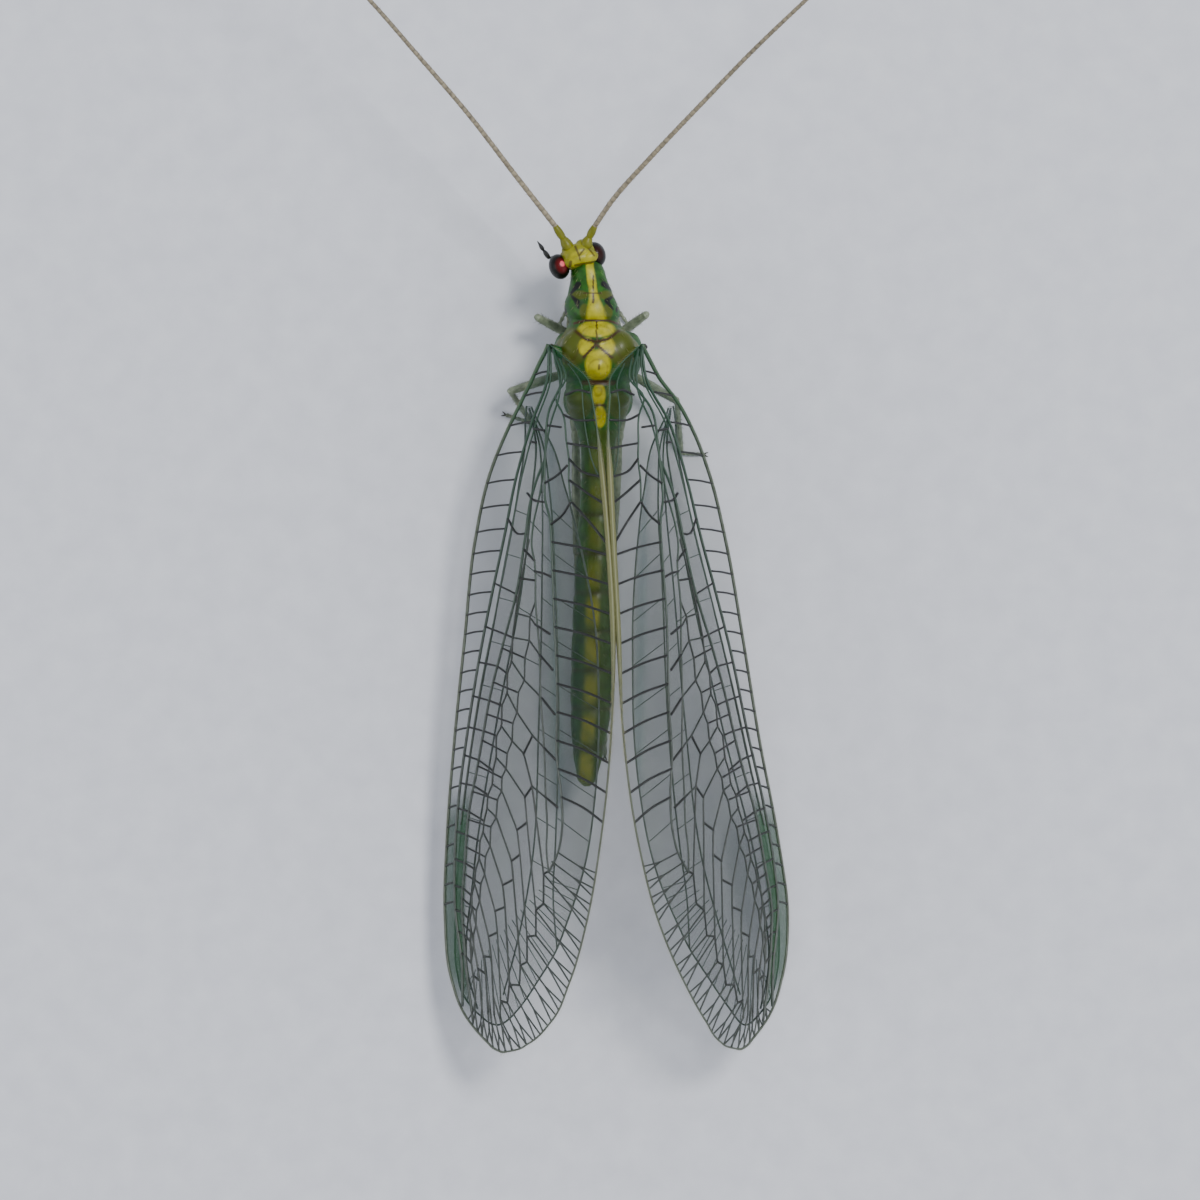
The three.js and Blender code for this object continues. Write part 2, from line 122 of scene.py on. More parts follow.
def joinShapes(shapes):
    # several shapes as one: each face's numbers are moved past the points before it
    offsets = np.cumsum([0] + [len(s["points"]) for s in shapes[:-1]])
    names = set(n for s in shapes for n in s["marks"])
    return dict(
        points=np.concatenate([s["points"] for s in shapes]),
        quads=np.concatenate([s["quads"] + o for s, o in zip(shapes, offsets)]),
        triangles=np.concatenate([s["triangles"] + o for s, o in zip(shapes, offsets)]),
        marks={
            n: np.concatenate([s["marks"].get(n, np.zeros(len(s["points"]))) for s in shapes])
            for n in names
        },
    )


def marked(shape, **marks):
    # the same shape with one number for each mark at all of its points, or an array of them
    for name, value in marks.items():
        shape["marks"][name] = np.broadcast_to(np.asarray(value, float), len(shape["points"])).copy()
    return shape


def addPiece(name, shape, material, replaces=()):
    # puts a shape into the scene, in metres in the frame's own place
    mesh = bpy.data.meshes.new(name)
    points = shape["points"] * mm + hinge
    faces = shape["quads"].tolist() + shape["triangles"].tolist()
    mesh.from_pydata(points.tolist(), [], faces)
    mesh.polygons.foreach_set("use_smooth", np.ones(len(mesh.polygons), bool))
    for markName, values in shape["marks"].items():
        attribute = mesh.attributes.new(markName, "FLOAT", "POINT")
        attribute.data.foreach_set("value", values.astype(np.float32))
    mesh.materials.append(material)
    mesh.update()
    piece = bpy.data.objects.new(name, mesh)
    bpy.context.scene.collection.objects.link(piece)
    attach(piece, "root")
    if replaces:
        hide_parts(*replaces)
    return piece


def hairs(roots, directions, lengths, radius, bend=0.25):
    # fine hairs: a three-sided root ring, a thinner ring half way, and a tip that bends back
    roots, directions = np.asarray(roots, float), unit(np.asarray(directions, float))
    lengths = np.broadcast_to(lengths, len(roots))[:, None]
    guide = np.where(np.abs(directions[:, 2:3]) < 0.8, [[0.0, 0.0, 1.0]], [[1.0, 0.0, 0.0]])
    across = unit(np.cross(directions, guide))
    over = np.cross(directions, across)
    angle = np.arange(3) * 2 * math.pi / 3
    ring = np.cos(angle)[None, :, None] * across[:, None] + np.sin(angle)[None, :, None] * over[:, None]
    sag = np.array([[0.0, 1.0, -0.4]]) * lengths * bend
    middle = roots + directions * lengths * 0.55 + sag * 0.3
    tips = roots + directions * lengths * 0.95 + sag
    low = roots[:, None] + ring * radius
    high = middle[:, None] + ring * radius * 0.6
    points = np.concatenate([low, high, tips[:, None]], 1).reshape(-1, 3)
    start = np.arange(len(roots))[:, None, None] * 7
    sides = np.array([[0, 1, 4, 3], [1, 2, 5, 4], [2, 0, 3, 5]])
    caps = np.array([[3, 4, 6], [4, 5, 6], [5, 3, 6], [2, 1, 0]])
    return dict(
        points=points,
        quads=(start + sides).reshape(-1, 4),
        triangles=(start + caps).reshape(-1, 3),
        marks={},
    )


# Materials

def hexColour(code):
    # an sRGB colour such as 7FA03C, turned to linear light
    parts = np.array([int(code[k:k + 2], 16) for k in (0, 2, 4)]) / 255
    linear = np.where(parts <= 0.04045, parts / 12.92, ((parts + 0.055) / 1.055) ** 2.4)
    return (*linear.tolist(), 1.0)


def addNode(tree, kind, settings=None, inputs=None):
    # adds one node; settings are its properties, inputs its sockets' values or the sockets to link from
    node = tree.nodes.new(kind)
    for name, value in (settings or {}).items():
        setattr(node, name, value)
    for name, value in (inputs or {}).items():
        if isinstance(value, bpy.types.NodeSocket):
            tree.links.new(value, node.inputs[name])
        else:
            node.inputs[name].default_value = value
    return node


def newMaterial(name):
    # an empty material, with its node tree and output
    material = bpy.data.materials.new(name)
    material.use_nodes = True
    tree = material.node_tree
    tree.nodes.clear()
    output = addNode(tree, "ShaderNodeOutputMaterial")
    return material, tree, output


def mixColours(tree, share, first, second):
    # first where share is 0, second where it is 1
    node = addNode(tree, "ShaderNodeMix", {"data_type": "RGBA"}, {0: share, 6: first, 7: second})
    return node.outputs[2]


def markOf(tree, name):
    # a mark that the mesh carries at each point
    return addNode(tree, "ShaderNodeAttribute", {"attribute_name": name}).outputs["Fac"]


def grainOf(tree, sizeMm, detail=3.0):
    # noise whose lumps are about sizeMm across, on the piece's own coordinates
    place = addNode(tree, "ShaderNodeTexCoord").outputs["Object"]
    scale = 1 / (sizeMm * mm)
    inputs = {"Vector": place, "Scale": scale, "Detail": detail}
    return addNode(tree, "ShaderNodeTexNoise", None, inputs).outputs["Fac"]


def rangeOf(tree, value, low, high, outLow=0.0, outHigh=1.0):
    # low to high, stretched to outLow to outHigh
    inputs = {"Value": value, "From Min": low, "From Max": high, "To Min": outLow, "To Max": outHigh}
    return addNode(tree, "ShaderNodeMapRange", None, inputs).outputs["Result"]


def bumpOf(tree, height, strength, depthMm):
    # tilts the surface by a height that is depthMm where it is 1
    inputs = {"Height": height, "Strength": strength, "Distance": depthMm * mm}
    return addNode(tree, "ShaderNodeBump", None, inputs).outputs["Normal"]


def bodyCuticle():
    # Live insect cuticle: thin waxed chitin over green blood and fat. It gives a soft gloss
    # over translucent greens, with yellow fat showing along the back.
    material, tree, output = newMaterial("waxedChitin")
    grain = grainOf(tree, 0.16)
    colour = mixColours(tree, rangeOf(tree, grain, 0.3, 0.7), hexColour("103606"), hexColour("285E0B"))
    colour = mixColours(tree, markOf(tree, "teal"), colour, hexColour("124C1B"))
    colour = mixColours(tree, markOf(tree, "olive"), colour, hexColour("464F03"))
    fatGrain = rangeOf(tree, grainOf(tree, 0.18), 0.35, 0.65)
    fat = mixColours(tree, fatGrain, hexColour("948F0B"), hexColour("B4AC1C"))
    colour = mixColours(tree, markOf(tree, "yellow"), colour, fat)
    colour = mixColours(tree, markOf(tree, "brown"), colour, hexColour("3A2604"))
    colour = mixColours(tree, markOf(tree, "black"), colour, hexColour("050803"))
    relief = bumpOf(tree, grainOf(tree, 0.06, 1.0), 0.15, 0.01)
    shader = addNode(tree, "ShaderNodeBsdfPrincipled", None, {
        "Base Color": colour, "Normal": relief, "Roughness": 0.42, "IOR": 1.36,
        "Subsurface Weight": 0.06, "Subsurface Scale": 0.15 * mm,
        "Coat Weight": 0.06, "Coat Roughness": 0.2,
    })
    shader.inputs["Subsurface Radius"].default_value = (0.7, 1.0, 0.25)
    tree.links.new(shader.outputs[0], output.inputs["Surface"])
    return material


def plainChitin(name, dark, light, roughness=0.4, grainMm=0.08, coat=0.15):
    # Hardened chitin: mottled from dark to light, a little glossy
    material, tree, output = newMaterial(name)
    mottle = rangeOf(tree, grainOf(tree, grainMm), 0.3, 0.7)
    colour = mixColours(tree, mottle, hexColour(dark), hexColour(light))
    colour = mixColours(tree, markOf(tree, "black"), colour, hexColour("15140D"))
    relief = bumpOf(tree, grainOf(tree, grainMm / 3, 2.0), 0.2, 0.008)
    shader = addNode(tree, "ShaderNodeBsdfPrincipled", None, {
        "Base Color": colour, "Normal": relief, "Roughness": roughness, "IOR": 1.56, "Coat Weight": coat,
    })
    tree.links.new(shader.outputs[0], output.inputs["Surface"])
    return material


def eyeLens():
    # Cornea of a compound eye: clear hard facets over dark pigment. A copper-red sheen is painted into the
    # colour where one looks straight into the facets, which is the top of the eye here, with a painted pink
    # highlight in it
    material, tree, output = newMaterial("corneaFacets")
    # painted sheen (dark red) and painted highlight (pink) mixed into the eye's own near-black colour
    colour = mixColours(tree, markOf(tree, "glow"), hexColour("070702"), hexColour("560406"))
    colour = mixColours(tree, markOf(tree, "spark"), colour, hexColour("F0606A"))
    colour = mixColours(tree, markOf(tree, "rim"), colour, hexColour("A8904A"))
    place = addNode(tree, "ShaderNodeTexCoord").outputs["Object"]
    facet = {"Vector": place, "Scale": 1 / (0.026 * mm)}  # facets 0.026 mm across
    cells = addNode(tree, "ShaderNodeTexVoronoi", {"feature": "F1"}, facet).outputs["Distance"]
    domes = rangeOf(tree, cells, 0.0, 0.7, 1.0, 0.0)
    relief = bumpOf(tree, domes, 0.35, 0.008)
    shader = addNode(tree, "ShaderNodeBsdfPrincipled", None, {
        "Base Color": colour, "Normal": relief, "Roughness": 0.3, "IOR": 1.28,
        "Coat Weight": 0.05, "Coat Roughness": 0.06,
    })
    tree.links.new(shader.outputs[0], output.inputs["Surface"])
    return material


def wingMembrane():
    # Wing membrane: clear chitin film a few thousandths of a millimetre thick. It gives
    # a faint grey veil with thin rainbow gloss, and is milky green in the pterostigma.
    material, tree, output = newMaterial("clearChitinFilm")
    ripple = grainOf(tree, 0.22)
    veil = mixColours(tree, rangeOf(tree, ripple, 0.35, 0.65), hexColour("142212"), hexColour("2C3C28"))
    colour = mixColours(tree, markOf(tree, "stigma"), veil, hexColour("244A1E"))
    colour = mixColours(tree, markOf(tree, "base"), colour, hexColour("0F3A20"))
    colour = mixColours(tree, markOf(tree, "band"), colour, hexColour("35645C"))
    alpha = 0.16  # what each face of the bare film hides
    for mark, extra in (("stigma", 0.55), ("base", 0.03), ("band", 0.1)):
        alpha = addNode(tree, "ShaderNodeMath", {"operation": "MULTIPLY_ADD"}, {
            0: markOf(tree, mark), 1: extra, 2: alpha,
        }).outputs[0]
    relief = bumpOf(tree, ripple, 0.6, 0.04)
    shader = addNode(tree, "ShaderNodeBsdfPrincipled", None, {
        "Base Color": colour, "Alpha": alpha, "Normal": relief, "Roughness": 0.2, "IOR": 1.35,
        "Thin Film Thickness": 290.0, "Thin Film IOR": 1.4,
    })
    tree.links.new(shader.outputs[0], output.inputs["Surface"])
    return material


def veinChitin():
    # Wing veins: hollow chitin tubes, green with blood near the body, grey towards the tip,
    # and black where they cross from one long vein to the next
    material, tree, output = newMaterial("veinChitin")
    grain = rangeOf(tree, grainOf(tree, 0.12), 0.3, 0.7)
    grey = mixColours(tree, grain, hexColour("39423A"), hexColour("59625A"))
    colour = mixColours(tree, markOf(tree, "green"), grey, hexColour("1C4C30"))
    colour = mixColours(tree, markOf(tree, "pale"), colour, hexColour("74743A"))
    colour = mixColours(tree, markOf(tree, "black"), colour, hexColour("060806"))
    shader = addNode(tree, "ShaderNodeBsdfPrincipled", None, {
        "Base Color": colour, "Roughness": 0.45, "IOR": 1.56,
    })
    tree.links.new(shader.outputs[0], output.inputs["Surface"])
    return material


materials = dict(
    body=bodyCuticle(),
    eye=eyeLens(),
    membrane=wingMembrane(),
    vein=veinChitin(),
    feeler=plainChitin("feelerChitin", "6E6450", "9A8E74", 0.5, 0.1, 0.0),
    leg=plainChitin("legChitin", "646E56", "8F977E", 0.42, 0.12, 0.1),
    palp=plainChitin("palpChitin", "1B1A14", "4A4433", 0.4, 0.06, 0.1),
    jaw=plainChitin("jawChitin", "7A5A1A", "B79A3A", 0.35, 0.08, 0.3),
    paleHair=plainChitin("paleHair", "8C8A58", "B4AE7E", 0.5, 0.1, 0.0),
)
print("materials made")


# Marks on the skin, painted by where a point is seen from above

def stroke(x, y, fromX, fromY, toX, toY, width, taper=0.0):
    # 1 on a straight line from one point to another, fading out past its width,
    # which is width * (1 - taper * t) a share t of the way along
    dx, dy = toX - fromX, toY - fromY
    t = np.clip(((x - fromX) * dx + (y - fromY) * dy) / (dx * dx + dy * dy + 1e-9), 0, 1)
    gap = np.hypot(x - fromX - t * dx, y - fromY - t * dy)
    return np.clip((1.25 - gap / (width / 2 * (1 - taper * t))) / 0.35, 0, 1)


def strokes(x, y, lines):
    # the strongest of several strokes
    total = np.zeros_like(x)
    for line in lines:
        total = np.maximum(total, stroke(x, y, *line))
    return total


def blot(x, y, centreX, centreY, halfX, halfY):
    # a soft oval patch
    away = np.hypot((x - centreX) / halfX, (y - centreY) / halfY)
    return np.clip((1.12 - away) / 0.22, 0, 1)


# Body: one skin over thorax and abdomen

body = dict(
    around=150,
    thoraxStep=0.022,
    abdomenStep=0.036,
    # y, then x and z of the axis, half width and half height
    rings=[
        (-1.74, 0.23, 2.0, 0.26, 0.24),
        (-1.6, 0.22, 2.0, 0.33, 0.31),
        (-1.34, 0.19, 2.0, 0.38, 0.36),
        (-1.12, 0.165, 1.99, 0.45, 0.42),
        (-0.86, 0.15, 1.96, 0.54, 0.49),
        (-0.6, 0.11, 1.93, 0.56, 0.52),
        (-0.47, 0.09, 1.92, 0.53, 0.5),
        (-0.3, 0.06, 1.91, 0.62, 0.62),
        (-0.05, 0.03, 1.9, 0.83, 0.77),
        (0.25, 0.0, 1.87, 0.92, 0.86),
        (0.55, 0.0, 1.84, 0.84, 0.8),
        (0.86, 0.0, 1.81, 0.67, 0.66),
        (1.1, 0.0, 1.78, 0.67, 0.66),
        (1.35, 0.0, 1.75, 0.61, 0.62),
        (1.62, 0.0, 1.71, 0.49, 0.52),
        (1.86, 0.0, 1.66, 0.42, 0.45),
        (2.78, 0.0, 1.53, 0.38, 0.39),
        (4.02, 0.03, 1.44, 0.43, 0.43),
        (5.67, 0.09, 1.4, 0.46, 0.45),
        (7.3, 0.13, 1.4, 0.46, 0.45),
        (8.14, 0.19, 1.42, 0.37, 0.4),
        (8.76, 0.22, 1.44, 0.25, 0.3),
        (9.04, 0.23, 1.45, 0.14, 0.18),
        (9.1, 0.23, 1.45, 0.06, 0.08),
    ],
    # swellings of the back and flanks: centre x, y, z and half sizes
    lobes=[
        (0.17, -0.92, 2.2, 0.3, 0.5, 0.27),
        (0.36, -1.02, 2.02, 0.18, 0.36, 0.3),
        (-0.06, -1.02, 2.02, 0.18, 0.36, 0.3),
        (0.03, -0.14, 2.38, 0.35, 0.27, 0.34),
        (0.41, 0.1, 2.31, 0.37, 0.42, 0.33),
        (-0.41, 0.1, 2.31, 0.37, 0.42, 0.33),
        (0.0, 0.43, 2.45, 0.27, 0.28, 0.3),
        (0.36, 1.08, 2.06, 0.3, 0.26, 0.32),
        (-0.36, 1.08, 2.06, 0.3, 0.26, 0.32),
        (0.0, 0.95, 2.2, 0.17, 0.22, 0.28),
        (0.0, 1.3, 2.18, 0.18, 0.24, 0.26),
        (0.66, 0.12, 1.55, 0.26, 0.42, 0.42),
        (-0.66, 0.12, 1.55, 0.26, 0.42, 0.42),
        (0.5, 1.12, 1.4, 0.22, 0.36, 0.4),
        (-0.5, 1.12, 1.4, 0.22, 0.36, 0.4),
        (0.3, -0.62, 1.62, 0.2, 0.3, 0.3),
        (-0.1, -0.62, 1.62, 0.2, 0.3, 0.3),
    ],
    segments=9,
    abdomenStart=1.9,
    lastSeam=8.9,
    seamDepth=0.07,  # how far a seam is drawn in, as a share of the radius
    sideFold=0.05,  # and the soft fold along each side of the abdomen
    # grooves across the thorax: y, depth as a share of the radius, width
    grooves=[(-1.03, 0.03, 0.05), (-0.5, 0.1, 0.05), (0.76, 0.1, 0.05)],
)


def ellipseReach(startX, startZ, alongX, alongZ, centreX, centreZ, halfX, halfZ):
    # how far a ray from (startX, startZ) goes until it leaves an ellipse; 0 where it misses
    dx, dz = (startX - centreX) / halfX, (startZ - centreZ) / halfZ
    ux, uz = alongX / halfX, alongZ / halfZ
    a = ux * ux + uz * uz
    b = dx * ux + dz * uz
    inside = b * b - a * (dx * dx + dz * dz - 1)
    return np.where(inside > 0, (np.sqrt(np.maximum(inside, 0)) - b) / a, 0)


def evened(reach):
    # three rounds of (2 r + both neighbours) / 4, round each ring and then from ring to ring
    for smoothing in range(3):
        reach = (reach * 2 + np.roll(reach, 1, 1) + np.roll(reach, -1, 1)) / 4
        reach[1:-1] = (reach[1:-1] * 2 + reach[:-2] + reach[2:]) / 4
    return reach


def bodySkin():
    # in each section the skin is as far out as the farthest of the ring and the lobes,
    # so that creases run where two of them meet; the abdomen is drawn in at each seam
    thorax = np.arange(body["rings"][0][0], body["abdomenStart"], body["thoraxStep"])
    abdomen = np.arange(body["abdomenStart"], body["rings"][-1][0], body["abdomenStep"])
    y = np.concatenate([thorax, abdomen, [body["rings"][-1][0]]])[:, None]
    axisX, axisZ, halfX, halfZ = np.moveaxis(splineAt(body["rings"], y), -1, 0)
    angle = np.linspace(0, 2 * math.pi, body["around"], endpoint=False)[None, :]
    alongX, alongZ = np.cos(angle), -np.sin(angle)
    reaches = [ellipseReach(axisX, axisZ, alongX, alongZ, axisX, axisZ, halfX, halfZ)]
    for centreX, centreY, centreZ, sizeX, sizeY, sizeZ in body["lobes"]:
        level = 1 - ((y - centreY) / sizeY) ** 2
        share = np.sqrt(np.maximum(level, 1e-6))
        reach = ellipseReach(axisX, axisZ, alongX, alongZ, centreX, centreZ, sizeX * share, sizeZ * share)
        reaches.append(np.where(level > 0, reach, 0))
    ordered = np.sort(np.stack(reaches), axis=0)
    reach = ordered[-1]
    crease = np.exp(-((ordered[-1] - ordered[-2]) / 0.012) ** 2) * (ordered[-2] > 0.1)
    segmentPlace = (y - body["abdomenStart"]) / (abdomenEnd - body["abdomenStart"]) * body["segments"]
    toSeam = np.abs(segmentPlace - np.round(segmentPlace))
    onAbdomen = (y > body["abdomenStart"] + 0.3) & (y < body["lastSeam"])
    reach = reach * (1 - body["seamDepth"] * np.exp(-(toSeam / 0.07) ** 2) * onAbdomen)
    side = np.abs(np.abs(alongX) - 0.97) < 0.05
    reach = reach * (1 - body["sideFold"] * side * (y > body["abdomenStart"]) * (y < body["lastSeam"]))
    for groove, depth, width in body["grooves"]:
        reach = reach * (1 - depth * np.exp(-((y - groove) / width) ** 2))
    reach = evened(reach)
    x, z = axisX + reach * alongX, axisZ + reach * alongZ
    rings = np.stack([x, np.broadcast_to(y, x.shape), z], -1)
    return rings, axisX, crease, segmentPlace, z > axisZ


backMarks = dict(
    # the pale stripe of the pronotum: y, its middle and its half width
    stripe=[
        (-1.6, 0.17, 0.075), (-1.3, 0.13, 0.085), (-1.1, 0.1, 0.08), (-0.95, 0.08, 0.1),
        (-0.8, 0.06, 0.14), (-0.62, 0.04, 0.18), (-0.5, 0.04, 0.19),
    ],
    # patches: centre x and y, half sizes
    yellow=[
        (0.03, -0.32, 0.37, 0.17),
        (0.24, 0.05, 0.16, 0.19), (-0.19, 0.05, 0.16, 0.19),
        (0.0, 0.43, 0.26, 0.31),
        (-0.02, 1.03, 0.13, 0.24), (-0.04, 1.48, 0.12, 0.22),
    ],
    olive=[
        (0.55, 0.05, 0.34, 0.4), (-0.52, 0.05, 0.34, 0.4),
        (0.4, 1.25, 0.27, 0.27), (-0.44, 1.25, 0.24, 0.27),
        (0.38, -1.02, 0.18, 0.09), (-0.17, -1.02, 0.16, 0.09),
        (0.28, -0.68, 0.1, 0.16), (-0.2, -0.68, 0.1, 0.16),
    ],
    teal=[
        (0.4, 0.62, 0.12, 0.22), (-0.4, 0.62, 0.12, 0.22), (0.84, 0.3, 0.14, 0.4),
        (-0.84, 0.3, 0.14, 0.4),
    ],
    # lines: from x and y to x and y, width
    brown=[
        (0.49, -0.44, 0.27, -0.5, 0.05), (0.27, -0.5, -0.2, -0.5, 0.05), (-0.2, -0.5, -0.41, -0.44, 0.05),
        (0.03, -0.49, 0.03, -0.08, 0.028),
        (0.47, -0.28, 0.27, -0.11, 0.05), (0.27, -0.11, 0.04, -0.05, 0.055),
        (0.04, -0.05, -0.21, -0.11, 0.055), (-0.21, -0.11, -0.43, -0.28, 0.05),
        (0.04, 0.0, 0.3, 0.27, 0.055), (0.04, 0.0, -0.28, 0.27, 0.055),
        (-0.02, 0.44, -0.02, 0.5, 0.05),
        (0.3, 0.78, -0.32, 0.78, 0.1), (0.1, 1.25, -0.14, 1.25, 0.04),
        (0.1, -1.42, 0.1, -1.1, 0.028), (0.1, -1.05, 0.1, -0.86, 0.04), (0.3, -1.06, -0.06, -1.06, 0.03),
    ],
    # black wedges: from the broad end to the narrow one, breadth and how much of it goes
    black=[
        (0.41, -1.24, 0.58, -1.03, 0.12, 0.75), (0.43, -0.88, 0.54, -1.0, 0.11, 0.6),
        (0.43, -0.88, 0.4, -0.74, 0.1, 0.8), (-0.12, -1.25, -0.3, -1.12, 0.12, 0.75),
        (-0.18, -0.9, -0.3, -1.0, 0.1, 0.6), (-0.18, -0.9, -0.32, -0.72, 0.1, 0.75),
        (0.69, -0.74, 0.66, -0.64, 0.07, 0.3), (-0.4, -0.76, -0.38, -0.7, 0.06, 0.3),
        (0.97, -0.12, 0.86, 0.02, 0.09, 0.3), (-0.95, -0.12, -0.86, 0.02, 0.09, 0.3),
    ],
)


def blots(x, y, patches):
    # the strongest of several oval patches
    total = np.zeros_like(x)
    for patch in patches:
        total = np.maximum(total, blot(x, y, *patch))
    return total


def bodyMarks(rings, axisX, crease, segmentPlace, upper):
    # how much of each colour a point has, by its place seen from above: the stripe of the pronotum,
    # the patches of the thorax, a bright patch on each ring of the abdomen, brown seams and painted shade
    # in the creases of the thorax
    x, y = rings[..., 0], rings[..., 1]
    off = x - axisX
    up = upper.astype(float)
    pronotum = (y < -0.5)
    stripeX, stripeHalf = np.moveaxis(splineAt(backMarks["stripe"], np.clip(y, -1.6, -0.5)), -1, 0)
    stripe = np.clip((1.25 - np.abs(x - stripeX) / stripeHalf) / 0.4, 0, 1) * pronotum
    within = segmentPlace - np.floor(segmentPlace)
    swell = np.clip(np.sin(within * math.pi) * 1.6 - 0.3, 0, 1)
    patch = np.clip((1.2 - np.abs(off - 0.03) / 0.15) / 0.6, 0, 1) * (0.2 + 0.8 * swell)
    tergites = patch * np.clip((y - 1.6) / 0.8, 0, 1) * np.interp(y, [2, 4.6, 5.4], [0.25, 0.3, 0.85])
    yellow = np.clip(stripe + blots(x, y, backMarks["yellow"]) + tergites * 0.8, 0, 1) * up
    olive = blots(x, y, backMarks["olive"]) * up
    olive = np.maximum(olive, np.clip(1.5 - np.abs(off + 0.12) / 0.3, 0, 1) * (y > 1.75) * 0.55 * up)
    belly = (1 - up) * (y > 1.7)
    olive = np.maximum(olive, belly * 0.55)
    teal = np.clip((np.abs(off) - 0.36) / 0.12, 0, 1) * pronotum * 0.6
    teal = np.maximum(teal, blots(x, y, backMarks["teal"]) * 0.8)
    # painted shade: brown laid into the creases where two lobes of the thorax meet
    brown = crease * up * 0.4 * (y < 1.8) * (y > -0.4)
    brown = np.maximum(brown, strokes(x, y, backMarks["brown"]) * up)
    black = strokes(x, y, backMarks["black"]) * up
    toSeam = np.abs(segmentPlace - np.round(segmentPlace))
    seam = np.exp(-(toSeam / 0.06) ** 2) * (y > 2.2) * (y < body["lastSeam"])
    brown = np.maximum(brown, seam * 0.6)
    return dict(yellow=yellow, olive=olive, teal=teal, brown=brown, black=black)


bodyRings, bodyAxisX, bodyCrease, bodyPlace, bodyUpper = bodySkin()
bodyShape = closedSkin(bodyRings, bodyMarks(bodyRings, bodyAxisX, bodyCrease, bodyPlace, bodyUpper))
bodyNodes = ("prothorax", "mesothorax", "metathorax", "abdomen")
addPiece("bodySkin", bodyShape, materials["body"], bodyNodes)
print("body skin:", len(bodyShape["quads"]), "faces")


# Head

head = dict(
    centre=np.array([0.41, -1.8, 2.06]),
    turn=math.radians(19),
    rows=110,
    columns=150,
    # centre and half sizes, from the middle of the head: left, behind, above
    lobes=[
        (0.0, -0.03, 0.0, 0.42, 0.26, 0.35),
        (0.0, -0.06, -0.26, 0.3, 0.24, 0.36),
        (0.0, -0.1, 0.2, 0.3, 0.19, 0.17),
        (0.04, 0.03, 0.2, 0.34, 0.15, 0.16),
        (-0.2, 0.07, 0.2, 0.21, 0.14, 0.14),
        (0.15, -0.22, 0.14, 0.13, 0.12, 0.14),
        (-0.15, -0.22, 0.14, 0.13, 0.12, 0.14),
        (0.0, 0.1, -0.1, 0.26, 0.21, 0.25),
    ],
    # the head leans over a little, so that the left eye looks up and the right one down
    eyes={1: (0.43, 0.05, 0.09), -1: (-0.36, 0.05, -0.09)},
    eyeHalf=(0.21, 0.265, 0.27),
    # dark lines on the crown, given as on the back: from x and y to x and y, width
    lines=[
        (0.47, -2.02, 0.39, -1.83, 0.04), (0.29, -1.96, 0.39, -1.83, 0.035),
        (0.39, -1.83, 0.37, -1.74, 0.03), (0.21, -2.0, 0.08, -1.83, 0.035),
        (0.47, -1.63, 0.05, -1.71, 0.045), (0.58, -1.62, 0.56, -1.7, 0.06),
    ],
)


def onHead(local):
    # a point given from the middle of the head: to its left, behind it and above it
    local = np.asarray(local, float)
    c, s = math.cos(head["turn"]), math.sin(head["turn"])
    left, behind, above = local[..., 0], local[..., 1], local[..., 2]
    return np.stack([left * c - behind * s, left * s + behind * c, above], -1) + head["centre"]


def globe(rows, columns):
    # directions over a globe whose poles point up and down: (sin d cos t, sin d sin t, cos d)
    down = (np.arange(rows) + 0.5) / rows * math.pi
    turn = np.linspace(0, 2 * math.pi, columns, endpoint=False)
    down, turn = np.meshgrid(down, turn, indexing="ij")
    return np.stack([np.sin(down) * np.cos(turn), np.sin(down) * np.sin(turn), np.cos(down)], -1)


def headSkin():
    # the farthest of several ellipsoids along each direction from the middle of the head
    along = globe(head["rows"], head["columns"])
    reaches = []
    for lobe in head["lobes"]:
        centre, half = np.array(lobe[:3]), np.array(lobe[3:])
        u, d = along / half, -centre / half
        a, b, c = (u * u).sum(-1), (u * d).sum(-1), (d * d).sum(-1) - 1
        inside = b * b - a * c
        reaches.append(np.where(inside > 0, (np.sqrt(np.maximum(inside, 0)) - b) / a, 0))
    reach = evened(np.max(np.stack(reaches), axis=0))
    return along * reach[..., None]


def headMarks(local):
    # the crown's dark lines as seen from above, and a dark bar down each cheek
    left, above = local[..., 0], local[..., 2]
    x, y = np.moveaxis(onHead(local), -1, 0)[:2]
    brown = strokes(x, y, head["lines"]) * (above > 0) * 0.75
    cheek = stroke(np.abs(left), above, 0.3, -0.3, 0.22, -0.5, 0.08) * (above < -0.15)
    yellow = 0.45 + 0.4 * blot(x, y, 0.3, -1.75, 0.28, 0.2)
    return dict(yellow=yellow, olive=0.9, teal=0.0, brown=brown, black=cheek)


headLocal = headSkin()
headShape = closedSkin(onHead(headLocal), headMarks(headLocal))
addPiece("headSkin", headShape, materials["body"], ("head",))


def compoundEye(side):
    # an ellipsoid of dark lenses; its painted sheen lies where it faces up, a painted highlight sits on the
    # left eye, and its pale rim where it meets the head
    along = globe(60, 90)
    place = head["eyes"][side]
    local = along * np.array(head["eyeHalf"]) + np.array(place)
    facing = along @ unit(np.array([-0.3, 0.0, 1.0]))
    # painted sheen where the eye faces up, full on the upturned left eye and weak on the right; painted
    # pink highlight on the left eye only
    glow = np.clip((facing - 0.72) / 0.2, 0, 1) * (1.0 if side > 0 else 0.2)
    spark = np.clip((along @ unit(np.array([-0.42, -0.12, 1.0])) - 0.965) / 0.02, 0, 1) * (side > 0)
    inward = -side * along[..., 0]
    rim = np.clip((inward - 0.3) / 0.08, 0, 1) * np.clip((0.75 - inward) / 0.1, 0, 1)
    rim = rim * (side < 0) * (along[..., 2] > 0)
    return closedSkin(onHead(local), dict(glow=glow, spark=spark, rim=rim))


for sideName, side in (("left", 1), ("right", -1)):
    addPiece("compoundEye." + sideName, compoundEye(side), materials["eye"], ("eye_" + sideName,))


